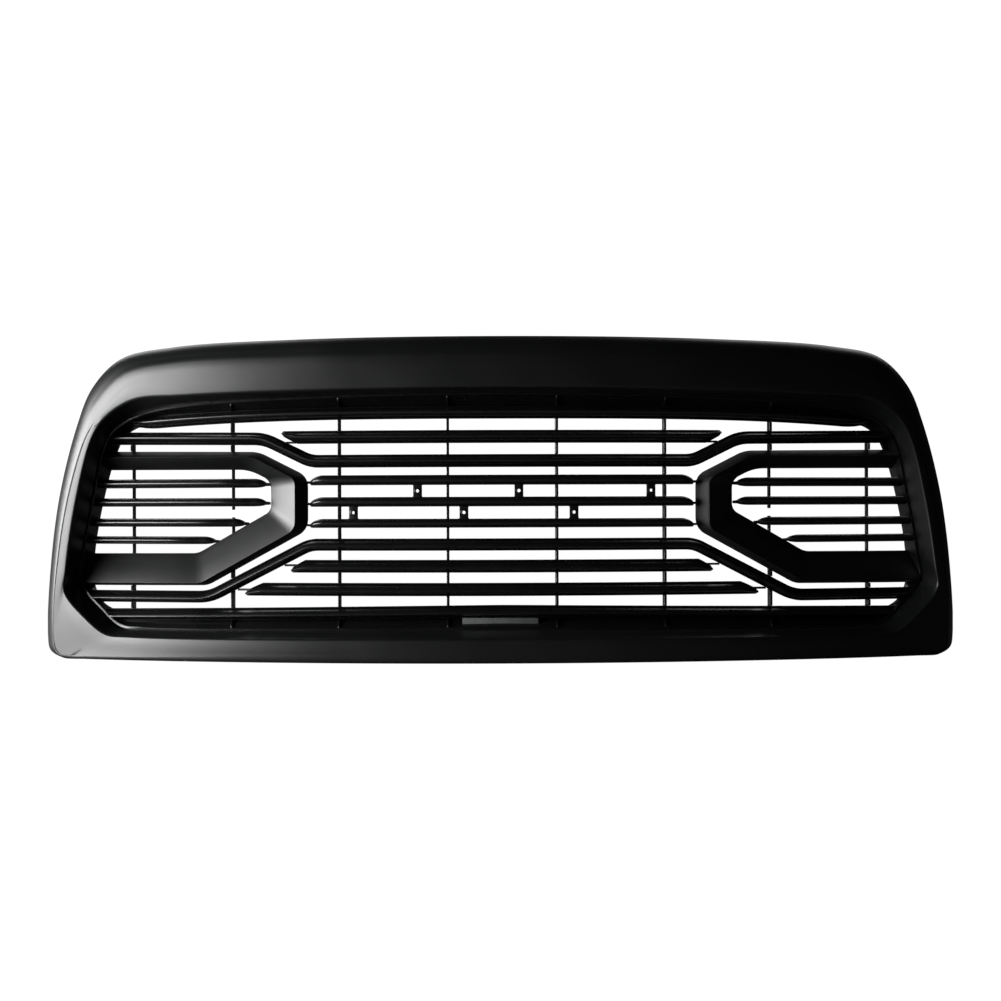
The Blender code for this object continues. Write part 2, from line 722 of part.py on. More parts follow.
def make_push_pins():
    head, flange = 0.0042, 0.0080
    profile = [
        (0, 0.0050), (0.0055, 0.0042), (flange, 0.0012), (flange, 0), (0.0034, 0), (0.0034, -0.0050),
        (head, -0.0075), (0.0026, -0.0150), (0, -0.0165),
    ]
    for number, x in enumerate(TOP_TAB_X, 1):
        z = top_tab_height(x) + TOP_TAB_SIZE[2] / 2 + 0.0003
        turned(f"top_push_pin_{number}", profile, (x, pin_y(x), z), (0, 0, 0), 12, ("moulded_black", MOULDED_BLACK))


def make_lower_clips():
    """Spring clips that wrap the rear edge of the two lower tabs."""
    strip, reach = 0.0012, 0.016
    half = LOW_TAB_SIZE[2] / 2 + 0.0004
    for number, x in enumerate(LOW_TAB_X, 1):
        rear = bow(x) + REAR_BACK + LOW_TAB_SIZE[1] - 0.012
        z = LOW_TAB_SIZE[2] / 2 + 0.0015
        section = [
            (-reach, half), (0.0004, half), (0.0004, -half), (-reach, -half), (-reach, -half - strip * 0.8),
            (0.0004 + strip, -half - strip * 0.8), (0.0004 + strip, half + strip), (-reach + 0.004, half + strip),
            (-reach, half + strip + 0.003), (-reach - 0.001, half + strip + 0.002),
        ]
        matrix = Matrix.Translation((x, rear, z)) @ Matrix(
            ((0, 0, 1, 0), (1, 0, 0, 0), (0, 1, 0, 0), (0, 0, 0, 1))
        )
        flat_curve(f"lower_spring_clip_{number}", [section], 0.009, ("steel", STEEL), matrix)


def make_insert_screws(shell, frame):
    """Pan-head screws from behind, through the insert's flange into the shell's flange."""
    middle = grown(outline(RETURN), FLANGE_WIDTH / 2 + 0.0005)
    places = [(side * middle[i][0], middle[i][1]) for side in (-1, 1) for i in SCREW_PLACES]
    profile = [
        (0, 0.0028), (0.0030, 0.0024), (0.0042, 0.0010), (0.0042, 0), (0.0018, 0), (0.0018, -0.0090), (0, -0.0110),
    ]
    for number, (x, z) in enumerate(sorted(places), 1):
        turn = (math.radians(-90), 0, bow_angle(x))
        for target, word in ((shell, "shell"), (frame, "frame")):
            centre = placed(x, z, FLANGE_BACK)
            hole = cylinder(f"{word}_screw_cutter_{number}", SCREW_HOLE, 0.016, centre, turn, 10)
            boolean(target, hole)
        seat = placed(x, z, FLANGE_BACK)
        outward = Vector((-math.sin(bow_angle(x)), math.cos(bow_angle(x)), 0))
        head = seat + outward * (WALL + 0.0006)
        turned(f"insert_screw_{number}", profile, head, turn, 10, ("steel", STEEL))


# ---- build ----
for old in list(bpy.data.objects):
    bpy.data.objects.remove(old, do_unlink=True)

grille = bpy.data.collections.new("front_grille")
cutters = bpy.data.collections.new("cutters")
for collection in (grille, cutters):
    bpy.context.scene.collection.children.link(collection)

shell_object = surround_shell()
frame_object = insert_frame()
funnel_object = funnel_cutter()
pieces = make_blades(funnel_object) + make_wings(funnel_object)
make_ribs(pieces, funnel_object)
make_badge_tabs()
add_mounting_tabs(shell_object)
make_push_pins()
make_lower_clips()
make_insert_screws(shell_object, frame_object)
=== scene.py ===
import json
import math

import bmesh
import bpy
from mathutils import Matrix, Vector

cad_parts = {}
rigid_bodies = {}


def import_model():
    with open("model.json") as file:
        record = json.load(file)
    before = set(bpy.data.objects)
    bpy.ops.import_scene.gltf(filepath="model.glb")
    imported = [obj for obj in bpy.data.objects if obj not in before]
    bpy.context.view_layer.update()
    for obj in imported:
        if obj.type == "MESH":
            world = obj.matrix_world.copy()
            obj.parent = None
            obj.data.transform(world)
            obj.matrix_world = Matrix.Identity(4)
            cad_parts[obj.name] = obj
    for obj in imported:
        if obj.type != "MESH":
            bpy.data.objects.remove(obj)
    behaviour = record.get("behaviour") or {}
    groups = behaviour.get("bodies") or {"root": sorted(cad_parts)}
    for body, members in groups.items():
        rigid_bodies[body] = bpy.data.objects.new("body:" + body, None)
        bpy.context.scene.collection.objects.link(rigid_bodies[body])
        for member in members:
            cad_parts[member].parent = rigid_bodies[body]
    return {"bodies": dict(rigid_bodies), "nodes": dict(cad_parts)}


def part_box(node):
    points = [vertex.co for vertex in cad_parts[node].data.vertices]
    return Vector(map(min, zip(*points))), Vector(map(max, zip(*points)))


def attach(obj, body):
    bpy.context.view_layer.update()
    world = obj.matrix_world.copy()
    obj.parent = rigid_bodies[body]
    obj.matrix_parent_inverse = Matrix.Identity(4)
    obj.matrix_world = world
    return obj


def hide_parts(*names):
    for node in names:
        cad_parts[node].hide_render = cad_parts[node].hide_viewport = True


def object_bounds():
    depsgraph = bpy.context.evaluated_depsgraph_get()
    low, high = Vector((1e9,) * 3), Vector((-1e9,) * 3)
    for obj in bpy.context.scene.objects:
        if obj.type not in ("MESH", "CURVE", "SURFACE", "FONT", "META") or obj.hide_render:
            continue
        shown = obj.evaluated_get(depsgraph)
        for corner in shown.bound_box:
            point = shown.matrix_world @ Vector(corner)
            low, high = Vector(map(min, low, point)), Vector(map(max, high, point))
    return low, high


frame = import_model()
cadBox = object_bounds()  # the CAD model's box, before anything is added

scene = bpy.context.scene
root = list(frame["bodies"])[0]

# The grille is drawn flat in its front view, as (x, z), with a setback behind the shell's crease.
# Every point then goes back along the bow.
bowRadius = 1.350
frontY = cadBox[0].y


def bowed(x, z, back):
    return Vector((x, bowRadius - math.sqrt(bowRadius**2 - x**2) + frontY + back, z))


def bowTurn(x):
    return math.asin(x / bowRadius)


def hexColor(text, alpha=1.0):
    # sRGB hex to linear
    def linear(value):
        value /= 255
        return value / 12.92 if value <= 0.04045 else ((value + 0.055) / 1.055) ** 2.4

    return (*(linear(int(text[i : i + 2], 16)) for i in (0, 2, 4)), alpha)


def addNode(tree, kind, links=None, settings=None, **values):
    # one node with its settings, its input values and the sockets that feed it
    node = tree.nodes.new(kind)
    for name, value in (settings or {}).items():
        setattr(node, name, value)
    for name, value in values.items():
        node.inputs[name.replace("_", " ")].default_value = value
    for name, source in (links or {}).items():
        tree.links.new(source, node.inputs[name])
    return node


def setSocket(node, index, value):
    node.inputs[index].default_value = value


def meshObject(name, points, faces, smooth=35):
    mesh = bpy.data.meshes.new(name)
    mesh.from_pydata([tuple(point) for point in points], [], faces)
    bm = bmesh.new()
    bm.from_mesh(mesh)
    bmesh.ops.recalc_face_normals(bm, faces=bm.faces)
    bm.to_mesh(mesh)
    bm.free()
    return linked(name, mesh, smooth)


def linked(name, mesh, smooth=35):
    mesh.shade_smooth()
    mesh.set_sharp_from_angle(angle=math.radians(smooth))
    made = bpy.data.objects.new(name, mesh)
    scene.collection.objects.link(made)
    return made


def dropped(obj):
    data = obj.data
    bpy.data.objects.remove(obj)
    if data.users == 0:
        (bpy.data.curves if isinstance(data, bpy.types.Curve) else bpy.data.meshes).remove(data)


def baked(obj, weld=0.00001, smooth=35):
    # the evaluated shape as a plain mesh of the same name, with its place in its points
    bpy.context.view_layer.update()
    graph = bpy.context.evaluated_depsgraph_get()
    mesh = bpy.data.meshes.new_from_object(obj.evaluated_get(graph))
    mesh.transform(obj.matrix_world)
    name = obj.name
    dropped(obj)
    bm = bmesh.new()
    bm.from_mesh(mesh)
    bmesh.ops.remove_doubles(bm, verts=bm.verts, dist=weld)
    bmesh.ops.dissolve_degenerate(bm, edges=bm.edges, dist=weld)
    bmesh.ops.recalc_face_normals(bm, faces=bm.faces)
    bm.to_mesh(mesh)
    bm.free()
    return linked(name, mesh, smooth)


def boolean(obj, other, operation="DIFFERENCE"):
    modifier = obj.modifiers.new(operation.lower(), "BOOLEAN")
    modifier.operation = operation
    modifier.solver = "EXACT"
    modifier.object = other
    return modifier


def bevel(obj, width, segments=2, angle=40):
    modifier = obj.modifiers.new("bevel", "BEVEL")
    modifier.width = width
    modifier.segments = segments
    modifier.limit_method = "ANGLE"
    modifier.angle_limit = math.radians(angle)
    modifier.use_clamp_overlap = True
    return modifier


def finished(obj, material, slotName, *nodes):
    obj.data.materials.clear()
    obj.data.materials.append(material)
    for polygon in obj.data.polygons:
        polygon.material_index = 0
    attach(obj, root)
    if nodes:
        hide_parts(*nodes)
    return obj


def newMaterial(name):
    made = bpy.data.materials.new(name)
    made.use_nodes = True
    tree = made.node_tree
    return made, tree, tree.nodes["Principled BSDF"]


def plasticMaterial(name, look):
    # colour that varies a little, gloss that varies a little, and a fine bump in millimetres
    made, tree, shader = newMaterial(name)
    where = addNode(tree, "ShaderNodeTexCoord").outputs["Object"]
    cloud = addNode(tree, "ShaderNodeTexNoise", {"Vector": where}, Scale=1000 / look["cloudSize"], Detail=3.0)
    grain = addNode(tree, "ShaderNodeTexNoise", {"Vector": where}, Scale=1000 / look["grainSize"], Detail=2.0)
    wave = addNode(tree, "ShaderNodeTexNoise", {"Vector": where}, Scale=1000 / look["waveSize"], Detail=1.0)
    tone = addNode(tree, "ShaderNodeMix", {0: cloud.outputs[0]}, {"data_type": "RGBA"})
    setSocket(tone, 6, hexColor(look["color"]))
    setSocket(tone, 7, hexColor(look["colorLight"]))
    gloss = addNode(tree, "ShaderNodeMapRange", {0: cloud.outputs[0]})
    for index, value in enumerate((0.3, 0.7, look["roughness"] - look["roughnessSpread"],
                                   look["roughness"] + look["roughnessSpread"]), 1):
        setSocket(gloss, index, value)
    ripple = addNode(tree, "ShaderNodeBump", {"Height": wave.outputs[0]}, Strength=1.0,
                     Distance=look["waveDepth"] / 1000)
    fine = addNode(tree, "ShaderNodeBump", {"Height": grain.outputs[0], "Normal": ripple.outputs[0]},
                   Strength=1.0, Distance=look["grainDepth"] / 1000)
    tree.links.new(tone.outputs[2], shader.inputs["Base Color"])
    tree.links.new(gloss.outputs[0], shader.inputs["Roughness"])
    tree.links.new(fine.outputs[0], shader.inputs["Normal"])
    shader.inputs["IOR"].default_value = look["ior"]
    shader.inputs["Coat Weight"].default_value = look["coat"]
    shader.inputs["Coat Roughness"].default_value = look["coatRoughness"]
    return made


def zincMaterial(name, look):
    # zinc plate: pale blue-grey, with faint blotches and fine drawn lines
    made, tree, shader = newMaterial(name)
    where = addNode(tree, "ShaderNodeTexCoord").outputs["Object"]
    blotch = addNode(tree, "ShaderNodeTexNoise", {"Vector": where}, Scale=1000 / look["blotchSize"],
                     Detail=4.0)
    drawn = addNode(tree, "ShaderNodeMapping", {"Vector": where})
    drawn.inputs["Scale"].default_value = (1000 / look["lineSize"], 30, 1000 / look["lineSize"])
    lines = addNode(tree, "ShaderNodeTexNoise", {"Vector": drawn.outputs[0]}, Scale=1.0, Detail=2.0)
    tone = addNode(tree, "ShaderNodeMix", {0: blotch.outputs[0]}, {"data_type": "RGBA"})
    setSocket(tone, 6, hexColor(look["color"]))
    setSocket(tone, 7, hexColor(look["colorLight"]))
    gloss = addNode(tree, "ShaderNodeMapRange", {0: blotch.outputs[0]})
    for index, value in enumerate((0.3, 0.7, look["roughness"], look["roughness"] + 0.15), 1):
        setSocket(gloss, index, value)
    bump = addNode(tree, "ShaderNodeBump", {"Height": lines.outputs[0]}, Strength=0.6, Distance=0.00003)
    tree.links.new(tone.outputs[2], shader.inputs["Base Color"])
    tree.links.new(gloss.outputs[0], shader.inputs["Roughness"])
    tree.links.new(bump.outputs[0], shader.inputs["Normal"])
    shader.inputs["Metallic"].default_value = 1.0
    return made


# Two-part satin paint over ABS: an even skin with slight orange peel, sizes in millimetres.
satinPaint = plasticMaterial("satinPaintOnAbs", {
    "color": "0a0c0b", "colorLight": "0e100f", "cloudSize": 90, "roughness": 0.38, "roughnessSpread": 0.03,
    "grainSize": 0.9, "grainDepth": 0.004, "waveSize": 4.0, "waveDepth": 0.010, "ior": 1.50,
    "coat": 0.0, "coatRoughness": 0.3,
})
# Moulded ABS off a lightly etched tool: a fine dry grain. The real grain is 0.2 mm and is drawn at 0.7 mm.
mouldedAbs = plasticMaterial("mouldedAbs", {
    "color": "090a0a", "colorLight": "0e0f0e", "cloudSize": 60, "roughness": 0.28, "roughnessSpread": 0.03,
    "grainSize": 0.7, "grainDepth": 0.006, "waveSize": 7.0, "waveDepth": 0.008, "ior": 1.53,
    "coat": 0.0, "coatRoughness": 0.3,
})
# The same ABS off a coarser etched tool, nearly without gloss.
texturedAbs = plasticMaterial("texturedAbs", {
    "color": "0a0b0b", "colorLight": "0f1010", "cloudSize": 40, "roughness": 0.60, "roughnessSpread": 0.04,
    "grainSize": 0.9, "grainDepth": 0.014, "waveSize": 7.0, "waveDepth": 0.004, "ior": 1.36,
    "coat": 0.0, "coatRoughness": 0.3,
})
# Moulded nylon: a little waxier and greyer than the ABS.
nylon = plasticMaterial("mouldedNylon", {
    "color": "1e1e1f", "colorLight": "29292a", "cloudSize": 20, "roughness": 0.48, "roughnessSpread": 0.05,
    "grainSize": 0.5, "grainDepth": 0.010, "waveSize": 3.0, "waveDepth": 0.010, "ior": 1.53,
    "coat": 0.0, "coatRoughness": 0.3,
})
foamRubber = plasticMaterial("foamRubber", {
    "color": "464a48", "colorLight": "5c605e", "cloudSize": 12, "roughness": 0.80, "roughnessSpread": 0.05,
    "grainSize": 0.8, "grainDepth": 0.05, "waveSize": 5.0, "waveDepth": 0.02, "ior": 1.45,
    "coat": 0.0, "coatRoughness": 0.3,
})
zincSteel = zincMaterial("zincPlatedSteel", {
    "color": "9a9da0", "colorLight": "b4b7b8", "blotchSize": 5, "lineSize": 0.4, "roughness": 0.28,
})
print("materials made")

outlines = {
    "steps": [5, 3, 3, 3, 2, 3, 3, 3, 3, 2, 2, 4, 5],
    "fineness": 5,
    # half outlines from the top centre round to the bottom centre
    "edge": [
        (0, 0.4265), (0.276, 0.4240), (0.440, 0.4172), (0.512, 0.4035), (0.553, 0.3660), (0.576, 0.3140),
        (0.6025, 0.2150), (0.6165, 0.1050), (0.6194, 0.0300), (0.6155, 0.0105), (0.5970, 0.0012), (0.560, 0),
        (0.276, 0), (0, 0),
    ],
    "crease": [
        (0, 0.3940), (0.275, 0.3930), (0.440, 0.3885), (0.500, 0.3760), (0.534, 0.3440), (0.558, 0.3050),
        (0.5870, 0.2150), (0.6040, 0.1080), (0.6065, 0.0285), (0.6030, 0.0092), (0.590, 0.0012),
        (0.555, 0.0004), (0.275, 0.0004), (0, 0.0004),
    ],
    "lip": [
        (0, 0.3583), (0.275, 0.3550), (0.425, 0.3508), (0.490, 0.3465), (0.529, 0.3245), (0.5490, 0.2975),
        (0.5722, 0.2145), (0.5875, 0.1220), (0.5900, 0.0910), (0.5600, 0.0560), (0.5300, 0.0342),
        (0.498, 0.0315), (0.275, 0.0310), (0, 0.0318),
    ],
    "wall": [
        (0, 0.3532), (0.277, 0.3482), (0.428, 0.3395), (0.490, 0.3280), (0.525, 0.3095), (0.540, 0.2860),
        (0.5565, 0.2135), (0.571, 0.1420), (0.5755, 0.1030), (0.5440, 0.0655), (0.5170, 0.0435),
        (0.486, 0.0405), (0.277, 0.0405), (0, 0.0420),
    ],
    "opening": [
        (0, 0.3310), (0.277, 0.3265), (0.428, 0.3185), (0.488, 0.3125), (0.511, 0.2990), (0.525, 0.2730),
        (0.5435, 0.2100), (0.5555, 0.1450), (0.5570, 0.1030), (0.5440, 0.0745), (0.5150, 0.0620),
        (0.480, 0.0607), (0.277, 0.0605), (0, 0.0610),
    ],
}
setback = {
    "edge": 0.030, "roll": 0.008, "lip": 0.006, "wall": 0.043, "rear": 0.085, "flange": 0.0438,
    "opening": 0.072, "funnelFront": -0.010,
}
halfWidth = (cadBox[1].x - cadBox[0].x) / 2 - 0.0002


def splinePoint(a, b, c, d, t):
    knots = [0.0]
    for first, second in ((a, b), (b, c), (c, d)):
        knots.append(knots[-1] + max(math.dist(first, second), 1e-6) ** 0.5)
    t = knots[1] + (knots[2] - knots[1]) * t

    def mix(p, q, low, high):
        share = (t - low) / (high - low)
        return tuple(u + (v - u) * share for u, v in zip(p, q))

    ab, bc, cd = (mix(p, q, knots[i], knots[i + 1]) for i, (p, q) in enumerate(((a, b), (b, c), (c, d))))
    return mix(mix(ab, bc, knots[0], knots[2]), mix(bc, cd, knots[1], knots[3]), knots[1], knots[2])


def outline(name):
    # the closed outline, clockwise from the top centre
    half = outlines[name]
    ends = [(-half[1][0], half[1][1]), *half, (-half[-2][0], half[-2][1])]
    points = []
    for i, steps in enumerate(outlines["steps"]):
        steps *= outlines["fineness"]
        for step in range(steps):
            x, z = splinePoint(*ends[i : i + 4], step / steps)
            points.append((min(x, halfWidth), max(z, 0.0)))
    points.append(tuple(half[-1]))
    return points + [(-x, z) for x, z in reversed(points[1:-1])]


def grown(points, amount):
    moved = []
    for i, (x, z) in enumerate(points):
        along = (Vector(points[(i + 1) % len(points)]) - Vector(points[i - 1])).normalized()
        moved.append((x - along.y * amount, z + along.x * amount))
    return moved


def mixed(first, second, share):
    return [(a + (c - a) * share, b + (d - b) * share) for (a, b), (c, d) in zip(first, second)]


def filletPoints(before, corner, after, reach, steps):
    # a soft corner: a quadratic curve that starts and ends at the reach from the corner
    start = corner + (before - corner).normalized() * min(reach, (before - corner).length * 0.48)
    end = corner + (after - corner).normalized() * min(reach, (after - corner).length * 0.48)
    shares = [k / steps for k in range(steps + 1)]
    return [start * (1 - t) ** 2 + corner * 2 * t * (1 - t) + end * t * t for t in shares]


def ringMesh(name, sections, closedSection=False, smooth=35):
    # sections[i] is the section's points at place i round the outline
    count = len(sections[0])
    points = [point for section in sections for point in section]
    faces = []
    for i in range(len(sections)):
        j = (i + 1) % len(sections)
        for k in range(count if closedSection else count - 1):
            m = (k + 1) % count
            faces.append((i * count + k, i * count + m, j * count + m, j * count + k))
    made = meshObject(name, points, faces, smooth)
    foremost = min(made.data.polygons, key=lambda polygon: polygon.center.y)
    if foremost.normal.y > 0:
        made.data.flip_normals()
    return made


def solidified(obj, thickness):
    modifier = obj.modifiers.new("wall", "SOLIDIFY")
    modifier.thickness = thickness
    modifier.offset = -1
    modifier.use_even_offset = False
    return modifier


shellLook = {
    "wall": 0.003, "lipReach": 0.0036, "creaseReach": 0.0090, "sideCreaseReach": 0.0012, "grooveDepth": 0.0010,
    "grooveWidth": 0.0016, "flangeReach": 0.0025, "flangeWidth": 0.014, "rollSteps": 10, "rollInset": 0.08,
    "faceSlope": 0.02, "faceCrown": 0.0003, "rearDraft": 0.996,
}


def sideShare(points, i):
    # 1 where the outline runs up a side, 0 where it runs along the top or the bottom
    along = (Vector(points[(i + 1) % len(points)]) - Vector(points[i - 1])).normalized()
    start, span = (0.05, 0.5) if points[i][1] < 0.06 else (0.80, 0.14)
    t = min(max((abs(along.y) - start) / span, 0), 1)
    return t * t * (3 - 2 * t)


def shellSections():
    edge, crease, lip, wall = (outline(name) for name in ("edge", "crease", "lip", "wall"))
    roll = mixed(edge, crease, shellLook["rollInset"])
    flange = grown(wall, shellLook["flangeWidth"])
    sections = []
    for i in range(len(edge)):
        side = sideShare(crease, i)
        width = math.dist(crease[i], lip[i])
        rear = bowed(edge[i][0] * shellLook["rearDraft"], max(edge[i][1] - 0.003, 0), setback["rear"])
        outer = bowed(*edge[i], setback["edge"])
        control = bowed(*roll[i], setback["roll"])
        front = bowed(*crease[i], 0)
        inner = bowed(*lip[i], min(width * shellLook["faceSlope"], setback["lip"]))
        back = bowed(*wall[i], setback["wall"])
        rim = bowed(*flange[i], setback["wall"])
        section = [rear, rear.lerp(outer, 0.5)]
        for step in range(shellLook["rollSteps"] - 1):
            t = step / shellLook["rollSteps"]
            section.append(outer * (1 - t) ** 2 + control * 2 * t * (1 - t) + front * t * t)
        reach = shellLook["creaseReach"] + (shellLook["sideCreaseReach"] - shellLook["creaseReach"]) * side
        section += filletPoints(control, front, inner, reach, 4)
        sunk = Vector((0, shellLook["grooveDepth"] * side, 0))
        start = min(reach, (inner - front).length * 0.48)
        groove = [front.lerp(inner, (start + shellLook["grooveWidth"] * k) / width)
                  for k in (0.25, 0.6, 0.95, 1.3)]
        groove[1] += sunk
        groove[2] += sunk
        section += groove
        crown = Vector((0, -shellLook["faceCrown"] * (1 - 0.6 * side), 0))
        section += [front.lerp(inner, t) + crown * math.sin(math.pi * (t - 0.3) / 0.7)
                    for t in (0.42, 0.55, 0.70)]
        section += filletPoints(front, inner, back, min(shellLook["lipReach"], width * 0.2), 6)
        section += [inner.lerp(back, t) for t in (0.35, 0.65)]
        section += filletPoints(inner, back, rim, shellLook["flangeReach"], 3)
        section.append(rim)
        sections.append(section)
    return sections


shell = ringMesh("surroundShell", shellSections())
solidified(shell, shellLook["wall"])
shell = baked(shell)
for vertex in shell.data.vertices:
    vertex.co.z = max(vertex.co.z, 0.0)  # the underside is level


def boxObject(name, size, centre, turn=0.0):
    half = Vector(size) / 2
    corners = [Vector((sx * half.x, sy * half.y, sz * half.z))
               for sx in (-1, 1) for sy in (-1, 1) for sz in (-1, 1)]
    spin = Matrix.Rotation(turn, 3, "Z")
    points = [spin @ corner + Vector(centre) for corner in corners]
    faces = [(0, 1, 3, 2), (4, 6, 7, 5), (0, 4, 5, 1), (2, 3, 7, 6), (0, 2, 6, 4), (1, 5, 7, 3)]
    return meshObject(name, points, faces)


def turned(name, profile, steps=32):
    # a closed solid turned about Z, from (radius, z) points; the first and last lie on the axis
    bm = bmesh.new()
    rings = []
    for radius, z in profile:
        if radius < 1e-7:
            rings.append([bm.verts.new((0, 0, z))])
        else:
            angles = [k * math.tau / steps for k in range(steps)]
            rings.append([bm.verts.new((radius * math.cos(a), radius * math.sin(a), z)) for a in angles])
    for first, second in zip(rings, rings[1:]):
        for k in range(steps):
            m = (k + 1) % steps
            corners = [first[k % len(first)], first[m % len(first)],
                       second[m % len(second)], second[k % len(second)]]
            bm.faces.new(list(dict.fromkeys(corners)))
    bmesh.ops.recalc_face_normals(bm, faces=bm.faces)
    mesh = bpy.data.meshes.new(name)
    bm.to_mesh(mesh)
    bm.free()
    return linked(name, mesh)


def heightAt(points, x):
    # the outline's upper height at x
    for (x0, z0), (x1, z1) in zip(points, points[1:]):
        if x0 <= x <= x1:
            return z0 + (z1 - z0) * (x - x0) / (x1 - x0)


def joined(obj, *others):
    # closed shells that overlap, kept in one object
    bm = bmesh.new()
    bm.from_mesh(obj.data)
    for other in others:
        bm.from_mesh(other.data)
        dropped(other)
    bm.to_mesh(obj.data)
    bm.free()
    obj.data.shade_smooth()
    obj.data.set_sharp_from_angle(angle=math.radians(35))
    return obj


tabLook = {
    "topX": [0.110, 0.330], "topSize": (0.034, 0.040, 0.004), "topCentre": 0.093, "topDrop": 0.0074,
    "holeBack": 0.100, "hole": 0.0040,
    "lowX": [0.220], "lowSize": (0.030, 0.034, 0.004), "lowCentre": 0.090, "lowZ": 0.0035,
}


def shellTab(x, size, back, z, hole):
    place = bowed(x, z, back)
    tab = boxObject("tab", size, place)
    bevel(tab, 0.0009, 2)
    if hole:
        drill = turned("drill", [(0, -0.01), (tabLook["hole"], -0.01), (tabLook["hole"], 0.01), (0, 0.01)])
        drill.location = bowed(x, z, tabLook["holeBack"])
        boolean(tab, drill)
    tab = baked(tab)
    if hole:
        dropped(drill)
    return tab


topEdge = outline("edge")
topTabZ = {x: heightAt(topEdge, x) - tabLook["topDrop"] for x in tabLook["topX"]}
tabs = [shellTab(turn * x, tabLook["topSize"], tabLook["topCentre"], topTabZ[x], True)
        for x in tabLook["topX"] for turn in (-1, 1)]
tabs += [shellTab(turn * x, tabLook["lowSize"], tabLook["lowCentre"], tabLook["lowZ"], False)
         for x in tabLook["lowX"] for turn in (-1, 1)]
joined(shell, *tabs)
finished(shell, satinPaint, "satin_black", "surround_shell")
print("surround shell made", len(shell.data.polygons))

insertLook = {
    "wall": 0.0025, "beadHeight": 0.0012, "beadOuter": 0.0004, "beadInner": 0.0026, "beadReach": 0.0011,
    "beadEnd": 0.49, "beadFade": 0.02, "lipWidth": 0.008, "openingReach": 0.003, "flangeWidth": 0.014,
}


def insertSections():
    wall, opening = outline("wall"), outline("opening")
    flange = grown(wall, insertLook["flangeWidth"])
    end, fade = insertLook["beadEnd"], insertLook["beadFade"]
    high = [1.0 if abs(x) < end else max(0.0, 1 - (abs(x) - end) / fade) for x, z in wall]
    beadOuter, beadInner = grown(wall, -insertLook["beadOuter"]), grown(wall, -insertLook["beadInner"])
    beadTop = mixed(beadOuter, beadInner, 0.5)
    rearLip = grown(opening, insertLook["lipWidth"])
    sections = []
    for i in range(len(wall)):
        rim = bowed(*flange[i], setback["flange"])
        outer = bowed(*beadOuter[i], setback["flange"])
        top = bowed(*beadTop[i], setback["flange"] + 0.0003 - insertLook["beadHeight"] * high[i])
        inner = bowed(*beadInner[i], setback["flange"] + 0.0006)
        rear = bowed(*opening[i], setback["opening"])
        back = bowed(*rearLip[i], setback["opening"] + 0.001)
        section = [rim, *filletPoints(outer, top, inner, insertLook["beadReach"], 3)]
        section += [inner, inner.lerp(rear, 0.35), inner.lerp(rear, 0.7)]
        section += filletPoints(inner, rear, back, insertLook["openingReach"], 4)
        section.append(back)
        sections.append(section)
    return sections


insert = ringMesh("insertFrame", insertSections())
solidified(insert, insertLook["wall"])
insert = baked(insert)
ribNames = [node for node in frame["nodes"] if node.startswith("rib_")]
ribXs = sorted({round((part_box(node)[0].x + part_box(node)[1].x) / 2, 4) for node in ribNames})
finLook = {"thick": 0.0030, "proud": 0.0065, "deep": 0.0035, "front": 0.0450, "rear": 0.0714, "edge": 0.0009,
           "lastX": 0.48, "near": 0.02}
padLook = {"left": -0.053, "right": 0.047, "low": 0.0455, "high": 0.0570, "back": 0.0530, "deep": 0.012,
           "edge": 0.0008}


def finObject(x, upper):
    # a thin upright gusset on the upper or lower wall, from the front bead to the opening
    wall, opening = outline("wall"), outline("opening")
    if upper:
        front, rear, sign = heightAt(wall, x), heightAt(opening, x), -1
    else:
        front = min(pz for px, pz in wall if abs(px - x) < finLook["near"])
        rear = min(pz for px, pz in opening if abs(px - x) < finLook["near"])
        sign = 1
    proud, deep = sign * finLook["proud"], -sign * finLook["deep"]
    rows = [(finLook["front"], front + deep), (finLook["front"], front + proud),
            (finLook["rear"], rear + proud * 0.5), (finLook["rear"], rear + deep)]
    base = bowed(x, 0, 0)
    points = [base + Vector((turn * finLook["thick"] / 2, back, z)) for turn in (-1, 1) for back, z in rows]
    faces = [(0, 1, 2, 3), (7, 6, 5, 4)]
    faces += [(k, (k + 1) % 4, 4 + (k + 1) % 4, 4 + k) for k in range(4)]
    fin = meshObject("fin", points, faces)
    bevel(fin, finLook["edge"], 2)
    return baked(fin)


fins = [finObject(x, upper) for x in ribXs for upper in (True, False) if abs(x) < finLook["lastX"]]
padSize = (padLook["right"] - padLook["left"], padLook["deep"], padLook["high"] - padLook["low"])
padPlace = bowed((padLook["right"] + padLook["left"]) / 2, (padLook["low"] + padLook["high"]) / 2,
                 padLook["back"] + padLook["deep"] / 2)
pad = boxObject("pad", padSize, padPlace)
bevel(pad, padLook["edge"], 2)
joined(insert, *fins)
finished(insert, mouldedAbs, "moulded_black", "insert_frame")
pad = baked(pad)
pad.name = "seatPad"
finished(pad, foamRubber, "moulded_black")


def funnelCutter():
    # everything outside the funnel: blades, wings and ribs end where it begins
    wall, opening = grown(outline("wall"), -0.0024), grown(outline("opening"), -0.0004)
    outwards, rearmost = 0.060, 0.120  # far enough out and back to take in everything
    far = grown(outline("edge"), outwards)
    rings = ((wall, setback["funnelFront"]), (wall, setback["flange"]), (opening, setback["opening"]),
             (opening, rearmost), (far, rearmost), (far, setback["funnelFront"]))
    sections = [[bowed(*ring[i], back) for ring, back in rings] for i in range(len(wall))]
    return ringMesh("funnelCutter", sections, True)


funnel = funnelCutter()
funnel.hide_render = True
print("insert frame made")

